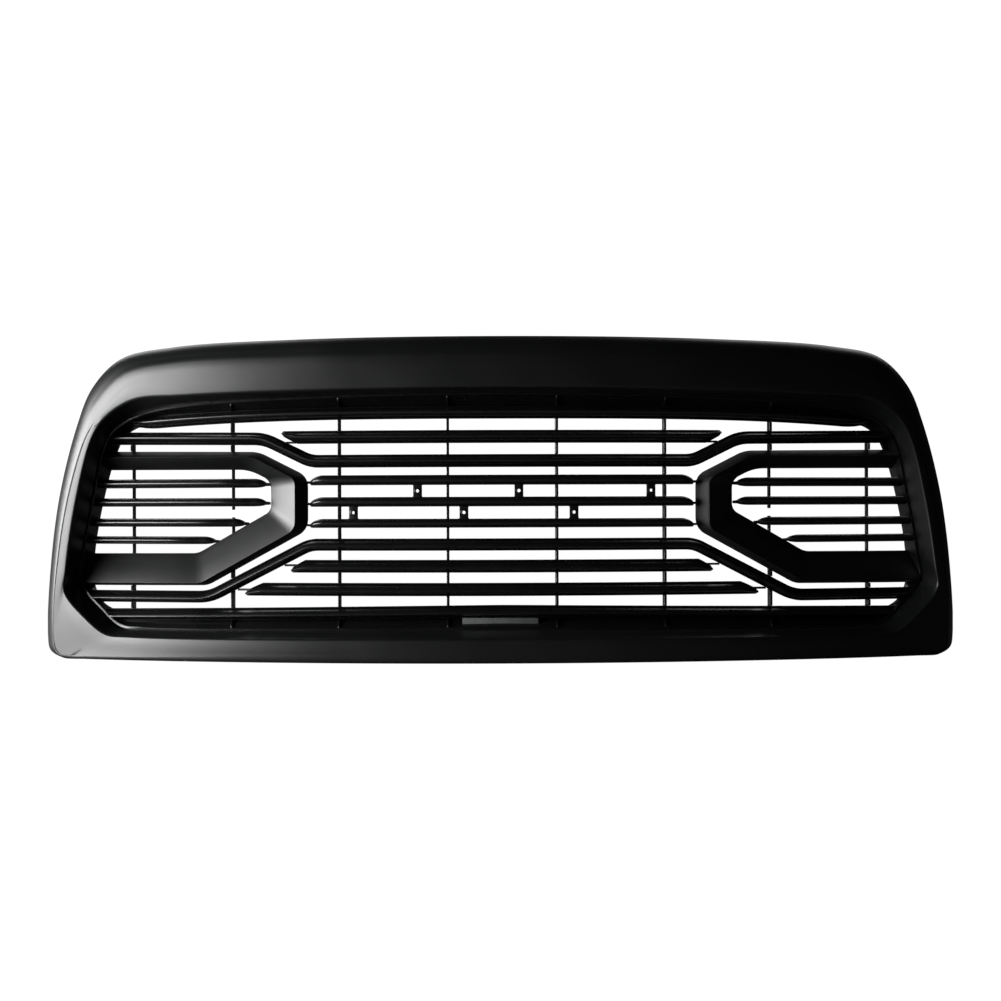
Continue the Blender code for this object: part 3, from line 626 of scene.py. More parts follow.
bladeLook = {
    "rear": 0.070, "step": 0.010, "tallHalf": 0.0084, "centreHalf": 0.0063, "slimHalf": 0.0057,
    "tallDepth": 0.026, "slimDepth": 0.024, "tallWall": 0.0026, "slimWall": 0.0022,
    "crownEnd": 0.512, "crownDroop": 0.0138, "crownPower": 3.6, "crownTip": 0.455, "crownPocket": 0.448,
    "sillEnd": 0.575, "sillDroop": 0.0066, "sillPower": 1.2, "sillDroopAt": 0.480, "sillPocket": 0.518,
    "shoulderPocket": 0.550, "centreRun": 0.2330, "centrePocket": 0.228, "pocketShort": 0.003,
}
# how far the ridge stands out, at each share of the way from its peak down its side
ridgeCurve = [(0.0, 1.0), (0.22, 0.985), (0.42, 0.93), (0.62, 0.83), (0.80, 0.69), (0.92, 0.57), (1.0, 0.47)]


def tallSection(peak):
    # a ridge on a flat base, with a fine rim along both edges; u is depth and v is height
    half, deep = bladeLook["tallHalf"], bladeLook["tallDepth"]
    foot = half * 0.72
    upper = [(deep * out, peak + (foot - peak) * t) for t, out in ridgeCurve]
    lower = [(deep * out, peak - (foot + peak) * t) for t, out in ridgeCurve[1:]]
    rim = [(deep * 0.535, half * 0.80), (deep * 0.55, half * 0.88),
           (deep * 0.535, half * 0.96), (deep * 0.49, half)]
    points = [(0, half * 0.8)] + rim[::-1] + upper[::-1] + lower
    return points + [(u, -v) for u, v in rim] + [(0, -half * 0.8)]


def slimSection(half):
    deep = bladeLook["slimDepth"]
    side = [(1.0, 0.0), (0.99, 0.20), (0.955, 0.42), (0.89, 0.64), (0.79, 0.83), (0.66, 0.95), (0.52, 1.0)]
    upper = [(deep * u, half * v) for u, v in side]
    return [(0, half * 0.8)] + upper[::-1] + [(u, -v) for u, v in upper[1:]] + [(0, -half * 0.8)]


def pocketSection(half, deep, wall):
    mouth, end = half * 0.8 - wall, deep - wall * 1.4
    return [(-0.002, -mouth), (-0.002, mouth), (end, half * 0.12), (end, -half * 0.12)]


def curveObject(name, points, cyclic=False, flat=False):
    data = bpy.data.curves.new(name, "CURVE")
    data.dimensions = "2D" if flat else "3D"
    spline = data.splines.new("POLY")
    spline.points.add(len(points) - 1)
    for target, (x, y, z, radius) in zip(spline.points, points):
        target.co = (x, y, z, 1)
        target.radius = radius
    spline.use_cyclic_u = cyclic
    made = bpy.data.objects.new(name, data)
    scene.collection.objects.link(made)
    return made


def sectionObject(name, points):
    # a sweep lays a section's X towards the front and its Y downwards
    made = curveObject(name, [(u, -v, 0, 1) for u, v in points], cyclic=True)
    made.hide_render = True
    return made


def sweepTree():
    # Sweeps a section object along a path of edges. Three values at each point of the path shape
    # the section there:
    # its share of the depth, its share of the height and its shift upwards.
    tree = bpy.data.node_groups.new("bladeSweep", "GeometryNodeTree")
    sockets = {"Path": "NodeSocketGeometry", "Section": "NodeSocketObject", "Finish": "NodeSocketMaterial"}
    ids = {name: tree.interface.new_socket(name, in_out="INPUT", socket_type=kind).identifier
           for name, kind in sockets.items()}
    tree.interface.new_socket("Blade", in_out="OUTPUT", socket_type="NodeSocketGeometry")
    given = addNode(tree, "NodeGroupInput").outputs
    here = addNode(tree, "GeometryNodeInputPosition").outputs[0]
    rail = addNode(tree, "GeometryNodeMeshToCurve", {"Mesh": given["Path"]})
    upright = addNode(tree, "GeometryNodeSetCurveNormal", {"Curve": rail.outputs[0]}, {"mode": "Z_UP"})
    stored = addNode(tree, "GeometryNodeStoreNamedAttribute", {"Geometry": upright.outputs[0], "Value": here},
                     {"data_type": "FLOAT_VECTOR", "domain": "POINT"}, Name="pathPlace")
    section = addNode(tree, "GeometryNodeObjectInfo", {"Object": given["Section"]})
    swept = addNode(tree, "GeometryNodeCurveToMesh", {
        "Curve": stored.outputs[0], "Profile Curve": section.outputs["Geometry"],
    }, Fill_Caps=True)

    def named(name, kind="FLOAT"):
        return addNode(tree, "GeometryNodeInputNamedAttribute", None, {"data_type": kind}, Name=name).outputs[0]

    def vectorMath(operation, first, second):
        return addNode(tree, "ShaderNodeVectorMath", {0: first, 1: second}, {"operation": operation}).outputs[0]

    place, depth = named("pathPlace", "FLOAT_VECTOR"), named("depthShare")
    share = addNode(tree, "ShaderNodeCombineXYZ", {"X": depth, "Y": depth, "Z": named("heightShare")})
    shift = addNode(tree, "ShaderNodeCombineXYZ", {"Z": named("shift")})
    shaped = vectorMath("MULTIPLY", vectorMath("SUBTRACT", here, place), share.outputs[0])
    target = vectorMath("ADD", vectorMath("ADD", place, shaped), shift.outputs[0])
    moved = addNode(tree, "GeometryNodeSetPosition", {"Geometry": swept.outputs[0], "Position": target})
    real = addNode(tree, "GeometryNodeRealizeInstances", {"Geometry": moved.outputs[0]})
    dressed = addNode(tree, "GeometryNodeSetMaterial",
                      {"Geometry": real.outputs[0], "Material": given["Finish"]})
    addNode(tree, "NodeGroupOutput", {"Blade": dressed.outputs[0]})
    return tree, ids


sweepNodes, sweepIds = sweepTree()
sections = {
    "upper": sectionObject("upperSection", tallSection(0.0008)),
    "lower": sectionObject("lowerSection", tallSection(-0.0024)),
    "centre": sectionObject("centreSection", slimSection(bladeLook["centreHalf"])),
    "slim": sectionObject("slimSection", slimSection(bladeLook["slimHalf"])),
}
halfHeights = {
    "upper": bladeLook["tallHalf"], "lower": bladeLook["tallHalf"],
    "centre": bladeLook["centreHalf"], "slim": bladeLook["slimHalf"],
}
pockets = {
    kind: sectionObject(kind + "Pocket", pocketSection(half, *(
        (bladeLook["tallDepth"], bladeLook["tallWall"]) if kind in ("upper", "lower")
        else (bladeLook["slimDepth"], bladeLook["slimWall"]))))
    for kind, half in halfHeights.items()
}


def swept(name, path, section, material):
    # path rows: x, z, share of depth, share of height, shift upwards
    mesh = bpy.data.meshes.new(name)
    points = [bowed(row[0], row[1], bladeLook["rear"]) for row in path]
    mesh.from_pydata(points, [(k, k + 1) for k in range(len(path) - 1)], [])
    for column, key in enumerate(("depthShare", "heightShare", "shift"), 2):
        layer = mesh.attributes.new(key, "FLOAT", "POINT")
        layer.data.foreach_set("value", [row[column] for row in path])
    obj = linked(name, mesh)
    modifier = obj.modifiers.new("bladeSweep", "NODES")
    modifier.node_group = sweepNodes
    modifier[sweepIds["Section"]] = section
    modifier[sweepIds["Finish"]] = material
    made = baked(obj)
    for key in ("pathPlace", "depthShare", "heightShare", "shift"):
        if key in made.data.attributes:
            made.data.attributes.remove(made.data.attributes[key])
    return made


def bothWays(half):
    return [(-row[0], *row[1:]) for row in reversed(half[1:])] + list(half)


def bladeRows(runXs, z, kind, tip=(), tall=1.0):
    # full rows along the run, then tip rows of (x, share of depth, top, bottom),
    # where 1 and -1 are the section's edges
    rows = [(x, z(x) if callable(z) else z, 1.0, tall, 0.0) for x in runXs]
    for x, depth, top, bottom in tip:
        middleZ = halfHeights[kind] * tall * (top + bottom) / 2
        rows.append((x, z(x) if callable(z) else z, depth, tall * (top - bottom) / 2, middleZ))
    return rows


def stepsTo(end, start=0.0):
    count = max(1, round(abs(end - start) / bladeLook["step"]))
    return [start + (end - start) * k / count for k in range(count + 1)]


def roundedPath(corners, radii, arcSteps=10, runStep=0.012):
    points = [tuple(corners[0])]
    for i in range(1, len(corners) - 1):
        here = Vector(corners[i])
        back = (Vector(corners[i - 1]) - here).normalized()
        ahead = (Vector(corners[i + 1]) - here).normalized()
        halfAngle = back.angle(ahead) / 2
        reach = radii[i - 1] / math.tan(halfAngle)
        centre = here + (back + ahead).normalized() * radii[i - 1] / math.sin(halfAngle)
        first, last = here + back * reach - centre, here + ahead * reach - centre
        turn = first.angle_signed(last)
        for step in range(arcSteps + 1):
            arm = first.copy()
            arm.rotate(Matrix.Rotation(-turn * step / arcSteps, 2))
            points.append(tuple(centre + arm))
    points.append(tuple(corners[-1]))
    return points


def cutPath(points, step=0.012):
    # the same path with its long runs cut into short ones
    made = []
    for first, second in zip(points, points[1:]):
        count = max(1, math.ceil(math.dist(first, second) / step))
        made += [tuple(Vector(first).lerp(Vector(second), k / count)) for k in range(count)]
    return made + [tuple(points[-1])]


def hollowed(obj, path, low, high, pocket):
    def at(x):
        for (x0, z0, *_), (x1, z1, *_) in zip(path, path[1:]):
            if x0 <= x <= x1:
                return (x, z0 + (z1 - z0) * (x - x0) / (x1 - x0), 1.0, 1.0, 0.0)

    inside = [(*row[:2], 1.0, 1.0, 0.0) for row in path if low + 0.0013 < row[0] < high - 0.0013]
    cutter = swept(obj.name + "Pocket", [at(low), *inside, at(high)], pocket, mouldedAbs)
    triangulated(obj)
    triangulated(cutter)
    boolean(obj, cutter)
    made = baked(obj)
    dropped(cutter)
    return made


def triangulated(obj):
    bm = bmesh.new()
    bm.from_mesh(obj.data)
    bmesh.ops.triangulate(bm, faces=bm.faces)
    bm.to_mesh(obj.data)
    bm.free()


def middle(node):
    low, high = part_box(node)
    return (low.z + high.z) / 2


bladeMeshes = []


def addBlade(name, node, path, kind, low, high, inFunnel=True):
    obj = swept(name, path, sections[kind], mouldedAbs)
    if inFunnel:
        triangulated(obj)
        boolean(obj, funnel)
        obj = baked(obj)
    obj = hollowed(obj, path, low, high, pockets[kind])
    bladeMeshes.append(obj)
    return finished(obj, mouldedAbs, "moulded_black", node)


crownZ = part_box("crown_blade")[1].z - bladeLook["tallHalf"]
crownTip = [
    (bladeLook["crownTip"] + (bladeLook["crownEnd"] - bladeLook["crownTip"]) * t, 1 - 0.55 * t * t,
     1 - 0.25 * t ** 3, -1 + 1.75 * t ** 2.2) for t in (0.12, 0.25, 0.4, 0.55, 0.7, 0.82, 0.92, 0.98)
]
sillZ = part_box("sill_blade")[1].z - bladeLook["tallHalf"]


def crownHeight(x):
    return crownZ - bladeLook["crownDroop"] * (abs(x) / bladeLook["crownEnd"]) ** bladeLook["crownPower"]


def sillHeight(x):
    return sillZ - bladeLook["sillDroop"] * (abs(x) / bladeLook["sillDroopAt"]) ** bladeLook["sillPower"]


crownRows = bladeRows(stepsTo(bladeLook["crownTip"]), crownHeight, "upper", crownTip)
sillRows = bladeRows(stepsTo(bladeLook["sillEnd"]), sillHeight, "lower")
for name, node, rows, kind, pocket in (
    ("crownBlade", "crown_blade", crownRows, "upper", bladeLook["crownPocket"]),
    ("sillBlade", "sill_blade", sillRows, "lower", bladeLook["sillPocket"]),
):
    addBlade(name, node, bothWays(rows), kind, -pocket, pocket)

shoulderBlades = {  # node, section, share of height, corners
    "upperShoulderBlade": ("upper_shoulder_blade", "upper", 1.02,
                           [(0, 0.2642), (0.2514, 0.2642), (0.3135, 0.2945), (0.560, 0.2975)]),
    "lowerShoulderBlade": ("lower_shoulder_blade", "lower", 0.96,
                           [(0, 0.1536), (0.2525, 0.1536), (0.3880, 0.0837), (0.600, 0.0832)]),
}
for name, (node, kind, tall, corners) in shoulderBlades.items():
    half = cutPath(roundedPath(corners, [0.045, 0.060]))
    rows = bothWays([(x, z, 1.0, tall, 0.0) for x, z in half])
    addBlade(name, node, rows, kind, -bladeLook["shoulderPocket"], bladeLook["shoulderPocket"])

# The centre blades' top edges slope down to a blunt tip, and a short tongue goes on into the wing.
centreBlades = {1: 1.06, 2: 1.02, 3: 0.95}
centreTip = [
    (0.2365, 0.99, 1.0, -1.0), (0.2400, 0.96, 0.93, -1.0), (0.2435, 0.92, 0.78, -1.0),
    (0.2470, 0.86, 0.54, -1.0), (0.2500, 0.76, 0.24, -1.0), (0.2520, 0.62, -0.04, -0.97),
    (0.2531, 0.48, -0.10, -0.80), (0.2536, 0.36, -0.14, -0.68), (0.2585, 0.34, -0.14, -0.66),
]
for number, tall in centreBlades.items():
    node = f"centre_blade_{number}"
    rows = bladeRows(stepsTo(bladeLook["centreRun"]), middle(node), "centre", centreTip, tall)
    pocket = bladeLook["centrePocket"]
    addBlade(f"centreBlade{number}", node, bothWays(rows), "centre", -pocket, pocket, inFunnel=False)

# A cut blade ends in a slant to its nose, and a thin web bridges the slant to the shoulder blade beside it.
# Node, section, share of height, x where the slant starts, x of the nose, side of the nose, and the web's
# inner x, outer x and height.
cutBlades = {
    "upperBlade": ("upper_blade", "upper", 1.03, 0.2685, 0.2905, 1, (0.2750, 0.2862, 0.2893)),
    "lowerBlade1": ("lower_blade_1", "lower", 1.01, 0.2585, 0.2782, -1, (0.2640, 0.2888, 0.1262)),
    "lowerBlade2": ("lower_blade_2", "lower", 1.04, 0.3150, 0.3400, -1, (0.3250, 0.3525, 0.0935)),
}
for name, (node, kind, tall, start, nose, side, web) in cutBlades.items():
    tip = []
    for t in (0.04, 0.2, 0.4, 0.6, 0.76, 0.87, 0.94, 0.98, 1.0):
        slant = 1 - 1.28 * t ** 1.1 - 0.20 * (max(t - 0.94, 0) / 0.06) ** 2
        nearEdge = 1 - 0.18 * (max(t - 0.94, 0) / 0.06) ** 2
        depth = 1 - 0.14 * t * t - 0.40 * max((t - 0.76) / 0.24, 0) ** 2.2
        top, bottom = (nearEdge, -slant) if side > 0 else (slant, -nearEdge)
        tip.append((start + (nose - start) * t, depth, top, bottom))
    rows = bladeRows(stepsTo(start), middle(node), kind, tip, tall)
    pocket = start - bladeLook["pocketShort"]
    obj = addBlade(name, node, bothWays(rows), kind, -pocket, pocket, inFunnel=False)
    inside, outside, webZ = web
    joined(obj, *(boxObject("web", (outside - inside, 0.010, 0.0026),
                            bowed(turn * (inside + outside) / 2, webZ, bladeLook["rear"] - 0.008),
                            bowTurn(turn * (inside + outside) / 2)) for turn in (-1, 1)))

# Wing blades: share of height, and x where the depth starts to fall, where the tip starts, and its end.
wingBlades = {1: (1.07, 0.362, 0.3290, 0.3145), 2: (1.01, 0.362, 0.3290, 0.3145),
              3: (0.99, 0.392, 0.3580, 0.3435), 4: (0.92, 0.430, 0.3990, 0.3845)}
for side, word in ((-1, "left"), (1, "right")):
    for number, (tall, taper, tip, end) in wingBlades.items():
        node = f"{word}_wing_blade_{number}"
        tips = [(taper + (tip - taper) * t, 1 - 0.42 * t ** 1.4, 1.0, -1.0) for t in (0.25, 0.5, 0.75, 1.0)]
        for t in (0.2, 0.4, 0.6, 0.78, 0.92, 1.0):
            slope = math.sqrt(1 - (t * 0.97) ** 2)
            top, bottom = -0.10 + 1.10 * slope, -0.55 - 0.45 * slope
            tips.append((tip + (end - tip) * t, 0.58 - 0.26 * t * t, top, bottom))
        tips.append((end - 0.0055, 0.30, 0.06, -0.62))
        z = middle(node)
        rows = bladeRows(stepsTo(taper, 0.580), z, "slim", tips, tall)
        path = sorted((side * row[0], *row[1:]) for row in rows)
        low, high = sorted((side * (taper + 0.003), side * 0.578))
        addBlade(f"{word}WingBlade{number}", node, path, "slim", low, high)
print("blades made")

wingLook = {
    "inner": [(0.560, 0.2545), (0.338, 0.2535), (0.3080, 0.2385),
              (0.3080, 0.1985), (0.4085, 0.1420), (0.580, 0.1410)],
    "ridge": [(0.560, 0.2715), (0.331, 0.2705), (0.2740, 0.2405),
              (0.2740, 0.1735), (0.4030, 0.1020), (0.600, 0.1015)],
    "outer": [(0.560, 0.2800), (0.325, 0.2775), (0.2582, 0.2440),
              (0.2582, 0.1732), (0.3950, 0.0988), (0.600, 0.0972)],
    "innerRadii": [0.060, 0.018, 0.014, 0.030], "ridgeRadii": [0.045, 0.014, 0.018, 0.030],
    "outerRadii": [0.045, 0.022, 0.024, 0.030],
    "ridgeFront": 0.040, "ridgeRear": 0.0440, "innerFront": 0.064, "innerRear": 0.0690,
    "carrierSide": 0.0645, "carrierRear": 0.0704, "edgeBevel": 0.0022, "carrierBevel": 0.0008,
    "gap": 0.0006, "behind": 0.0065, "behindShare": 0.14, "footShare": 0.16,
}


def sameCount(rows, step=0.012):
    # cuts the straight runs of matching paths into the same number of pieces
    made = [[] for _ in rows]
    for k in range(len(rows[0]) - 1):
        count = max(1, math.ceil(max(math.dist(row[k], row[k + 1]) for row in rows) / step))
        for target, row in zip(made, rows):
            target += [tuple(Vector(row[k]).lerp(Vector(row[k + 1]), j / count)) for j in range(count)]
    for target, row in zip(made, rows):
        target.append(row[-1])
    return made


def openLoft(name, rows, side):
    # rows of (points, setback), joined in a closed section with a face at each end
    count = len(rows)
    length = len(rows[0][0])
    points = [bowed(side * row[k][0], row[k][1], back) for k in range(length) for row, back in rows]
    faces = []
    for here in range(0, (length - 1) * count, count):
        there = here + count
        faces += [(here + k, here + (k + 1) % count, there + (k + 1) % count, there + k) for k in range(count)]
    faces += [tuple(range(count)), tuple((length - 1) * count + k for k in range(count))]
    return meshObject(name, points, faces)


inner, ridge, outer = sameCount([roundedPath(wingLook[key], wingLook[key + "Radii"], 8)
                                 for key in ("inner", "ridge", "outer")])
behind, foot = mixed(ridge, inner, wingLook["behindShare"]), mixed(outer, inner, wingLook["footShare"])
for side, word in ((-1, "left"), (1, "right")):
    trim = openLoft(f"{word}WingTrim", [
        (inner, wingLook["innerFront"]), (ridge, wingLook["ridgeFront"]),
        (ridge, wingLook["ridgeRear"]), (inner, wingLook["innerRear"]),
    ], side)
    bevel(trim, wingLook["edgeBevel"], 3)
    boolean(trim, funnel)
    finished(baked(trim), satinPaint, "satin_black", f"{word}_wing_trim")
    carrier = openLoft(f"{word}WingCarrier", [
        (ridge, wingLook["ridgeRear"] + wingLook["gap"]), (outer, wingLook["carrierSide"]),
        (outer, wingLook["carrierRear"]), (foot, wingLook["carrierRear"]),
        (foot, wingLook["carrierSide"]), (behind, wingLook["ridgeRear"] + wingLook["behind"]),
    ], side)
    bevel(carrier, wingLook["carrierBevel"], 2)
    boolean(carrier, funnel)
    carrier = baked(carrier)
    bladeMeshes.append(carrier)
    finished(carrier, texturedAbs, "moulded_black", f"{word}_wing_carrier")
print("wings made")

ribLook = {"thick": 0.0037, "front": 0.0545, "rear": 0.080, "notch": 0.0712, "clear": 0.00015, "edge": 0.0005,
           "topLimit": 0.328, "bottomLimit": 0.060, "merge": 0.001}


def crossing(mesh, x):
    heights = []
    for edge in mesh.edges:
        a, b = (mesh.vertices[v].co for v in edge.vertices)
        if (a.x - x) * (b.x - x) <= 0 and abs(a.x - b.x) > 1e-9:
            heights.append(a.z + (b.z - a.z) * (x - a.x) / (b.x - a.x))
    return (min(heights), max(heights)) if heights else None


def combOutline(low, high, spans):
    points = [(ribLook["rear"], high), (ribLook["rear"], low)]
    if not spans or spans[0][0] > low:
        points.append((ribLook["front"], low))
    for bottom, top in spans:
        if bottom > low:
            points.append((ribLook["front"], bottom))
        points += [(ribLook["notch"], max(bottom, low)), (ribLook["notch"], min(top, high))]
        if top < high:
            points.append((ribLook["front"], top))
    if not spans or spans[-1][1] < high:
        points.append((ribLook["front"], high))
    return points


def plateObject(name, points, x, thick):
    # a flat plate that faces along X, from an outline of (setback, z)
    count = len(points)
    base = bowed(x, 0, 0)
    corners = [base + Vector((side * thick / 2, back, z)) for side in (-1, 1) for back, z in points]
    faces = [tuple(range(count)), tuple(range(2 * count - 1, count - 1, -1))]
    faces += [(k, (k + 1) % count, count + (k + 1) % count, count + k) for k in range(count)]
    return meshObject(name, corners, faces)


for node in sorted(ribNames):
    first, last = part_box(node)
    x, low, high = (first.x + last.x) / 2, first.z, last.z
    spans = []
    for span in sorted(filter(None, (crossing(obj.data, x) for obj in bladeMeshes))):
        bottom, top = span[0] - ribLook["clear"], span[1] + ribLook["clear"]
        if spans and bottom < spans[-1][1] + ribLook["merge"]:
            spans[-1] = (spans[-1][0], max(top, spans[-1][1]))
        else:
            spans.append((bottom, top))
    low = max(low, ribLook["bottomLimit"]) if not node.endswith("_upper") else low
    high = min(high, ribLook["topLimit"]) if not node.endswith("_lower") else high
    inside = [span for span in spans if span[1] > low and span[0] < high]
    name = "rib" + "".join(part.capitalize() for part in node.split("_")[1:])
    rib = plateObject(name, combOutline(low, high, inside), x, ribLook["thick"])
    bevel(rib, ribLook["edge"], 1)
    boolean(rib, funnel)
    finished(baked(rib), mouldedAbs, "moulded_black", node)
print("ribs made")

badgeLook = {"thick": 0.0040, "back": 0.0560, "boss": 0.0043, "hole": 0.0022, "foot": 0.0070, "waist": 0.0058,
             "ringHeight": 0.0012, "reach": 0.0012, "flare": 0.0018, "ringEdge": 0.0003, "edge": 0.0005}


def badgeTab(name, node):
    # an upright plate between two blades, with flared feet and a raised ring round its hole
    low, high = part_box(node)
    x, z, half = (low.x + high.x) / 2, (low.z + high.z) / 2, (high.z - low.z) / 2 + badgeLook["reach"]
    foot, waist, flare = badgeLook["foot"], badgeLook["waist"], badgeLook["flare"]
    outlineHalf = [(foot, half), (waist, half - flare), (waist, -half + flare), (foot, -half)]
    ring = outlineHalf + [(-u, v) for u, v in reversed(outlineHalf)]
    count = len(ring)
    spin = Matrix.Rotation(bowTurn(x), 3, "Z")
    place = bowed(x, z, badgeLook["back"])
    points = [spin @ Vector((u, side * badgeLook["thick"] / 2, v)) + place
              for side in (-1, 1) for u, v in ring]
    faces = [tuple(range(count)), tuple(range(2 * count - 1, count - 1, -1))]
    faces += [(k, (k + 1) % count, count + (k + 1) % count, count + k) for k in range(count)]
    tab = meshObject(name, points, faces)
    bevel(tab, badgeLook["edge"], 2)
    tab = baked(tab)
    out = badgeLook["thick"] / 2 + badgeLook["ringHeight"]
    radius, top = badgeLook["boss"], out + badgeLook["ringEdge"]
    boss = turned("boss", [(0, 0), (radius + 0.0004, 0), (radius, out), (radius - 0.0006, top), (0, top)])
    drill = turned("drill", [(0, -0.01), (badgeLook["hole"], -0.01), (badgeLook["hole"], 0.01), (0, 0.01)])
    for part in (boss, drill):
        part.matrix_world = (Matrix.Translation(place) @ Matrix.Rotation(bowTurn(x), 4, "Z")
                             @ Matrix.Rotation(math.radians(90), 4, "X"))
    boss = baked(boss)
    triangulated(tab)
    triangulated(boss)
    boolean(tab, boss, "UNION")
    tab = baked(tab)
    boolean(tab, drill)
    tab = baked(tab)
    dropped(boss)
    dropped(drill)
    finished(tab, mouldedAbs, "moulded_black", node)


for number in range(1, 7):
    badgeTab(f"badgeTab{number}", f"badge_tab_{number}")
print("badge tabs made")


def rowTree():
    # one fastener at every point, turned about X and then about Z by the point's own turn
    tree = bpy.data.node_groups.new("fastenerRow", "GeometryNodeTree")
    sockets = {"Places": "NodeSocketGeometry", "Fastener": "NodeSocketObject", "Tilt": "NodeSocketFloat",
               "Finish": "NodeSocketMaterial"}
    ids = {name: tree.interface.new_socket(name, in_out="INPUT", socket_type=kind).identifier
           for name, kind in sockets.items()}
    tree.interface.new_socket("Row", in_out="OUTPUT", socket_type="NodeSocketGeometry")
    given = addNode(tree, "NodeGroupInput").outputs
    turn = addNode(tree, "GeometryNodeInputNamedAttribute", None, {"data_type": "FLOAT"},
                   Name="turn").outputs[0]
    angles = addNode(tree, "ShaderNodeCombineXYZ", {"X": given["Tilt"], "Z": turn})
    shape = addNode(tree, "GeometryNodeObjectInfo", {"Object": given["Fastener"]})
    copies = addNode(tree, "GeometryNodeInstanceOnPoints", {
        "Points": given["Places"], "Instance": shape.outputs["Geometry"], "Rotation": angles.outputs[0],
    })
    real = addNode(tree, "GeometryNodeRealizeInstances", {"Geometry": copies.outputs[0]})
    dressed = addNode(tree, "GeometryNodeSetMaterial",
                      {"Geometry": real.outputs[0], "Material": given["Finish"]})
    addNode(tree, "NodeGroupOutput", {"Row": dressed.outputs[0]})
    return tree, ids


rowNodes, rowIds = rowTree()


def fastenerRow(name, shape, places, tilt, material, slotName, nodes):
    mesh = bpy.data.meshes.new(name)
    mesh.from_pydata([place for place, _ in places], [], [])
    layer = mesh.attributes.new("turn", "FLOAT", "POINT")
    layer.data.foreach_set("value", [turn for _, turn in places])
    row = linked(name, mesh)
    modifier = row.modifiers.new("fastenerRow", "NODES")
    modifier.node_group = rowNodes
    modifier[rowIds["Fastener"]] = shape
    modifier[rowIds["Tilt"]] = tilt
    modifier[rowIds["Finish"]] = material
    row = baked(row)
    if "turn" in row.data.attributes:
        row.data.attributes.remove(row.data.attributes["turn"])
    dropped(shape)
    return finished(row, material, slotName, *nodes)


screwLook = {
    "head": [(0, 0.0026), (0.0012, 0.0028), (0.0030, 0.0024), (0.0040, 0.0013), (0.0042, 0.0002), (0.0040, 0),
             (0.0018, 0)],
    "shank": 0.0018, "crest": 0.00205, "slack": 0.94, "pitch": 0.0016, "length": 0.0110, "headHigh": 0.0028,
}


def screwShape():
    # a pan head over a threaded shank, with a cross recess
    profile = list(screwLook["head"])
    shank, crest = screwLook["shank"] * screwLook["slack"], screwLook["crest"] * screwLook["slack"]
    turns = int((screwLook["length"] - 0.002) / screwLook["pitch"])
    for k in range(turns):
        z = -0.0008 - k * screwLook["pitch"]
        profile += [(shank, z), (crest, z - 0.0006), (shank, z - 0.0010)]
    profile += [(screwLook["shank"] * 0.8, -screwLook["length"] + 0.0008), (0, -screwLook["length"])]
    shape = turned("screwShape", profile, 28)
    triangulated(shape)
    for size in ((0.0044, 0.0010, 0.0032), (0.0010, 0.0044, 0.0032)):
        slot = boxObject("recess", size, (0, 0, screwLook["headHigh"]))
        boolean(shape, slot)
        shape = baked(shape)
        dropped(slot)
    return shape


def boxMiddle(node):
    low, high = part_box(node)
    return (low + high) / 2


screwNodes = [f"insert_screw_{number}" for number in range(1, 9)]
screwPlaces = []
for node in screwNodes:
    spot = boxMiddle(node)
    turn = bowTurn(spot.x)
    # the head is at the rear end, and its seat lies the head's height forward of the box's rear
    forward = Vector((math.sin(turn), -math.cos(turn), 0))
    seat = spot - forward * ((screwLook["length"] - screwLook["headHigh"]) / 2)
    screwPlaces.append((seat, turn))
fastenerRow("insertScrews", screwShape(), screwPlaces, math.radians(-90), zincSteel, "steel", screwNodes)

pinProfile = [  # radius and height, from the top of the head to the point
    (0, 0.0050), (0.0040, 0.0048), (0.0055, 0.0042), (0.0070, 0.0026), (0.0080, 0.0012), (0.0080, 0.0003),
    (0.0077, 0), (0.0034, 0), (0.0034, -0.0050), (0.0042, -0.0075), (0.0039, -0.0090), (0.0032, -0.0110),
    (0.0026, -0.0150), (0.0016, -0.0162), (0, -0.0165),
]
pinNodes = [f"top_push_pin_{number}" for number in range(1, 5)]
pinPlaces = []
for node in pinNodes:
    spot = boxMiddle(node)
    pinPlaces.append((Vector((spot.x, spot.y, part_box(node)[1].z - pinProfile[0][1])), 0.0))


def pinShape():
    shape = turned("pinShape", pinProfile, 32)
    triangulated(shape)
    slot = boxObject("slit", (0.0011, 0.02, 0.0120), (0, 0, -0.0112))
    boolean(shape, slot)
    shape = baked(shape)
    dropped(slot)
    return shape


fastenerRow("topPushPins", pinShape(), pinPlaces, 0.0, nylon, "moulded_black", pinNodes)


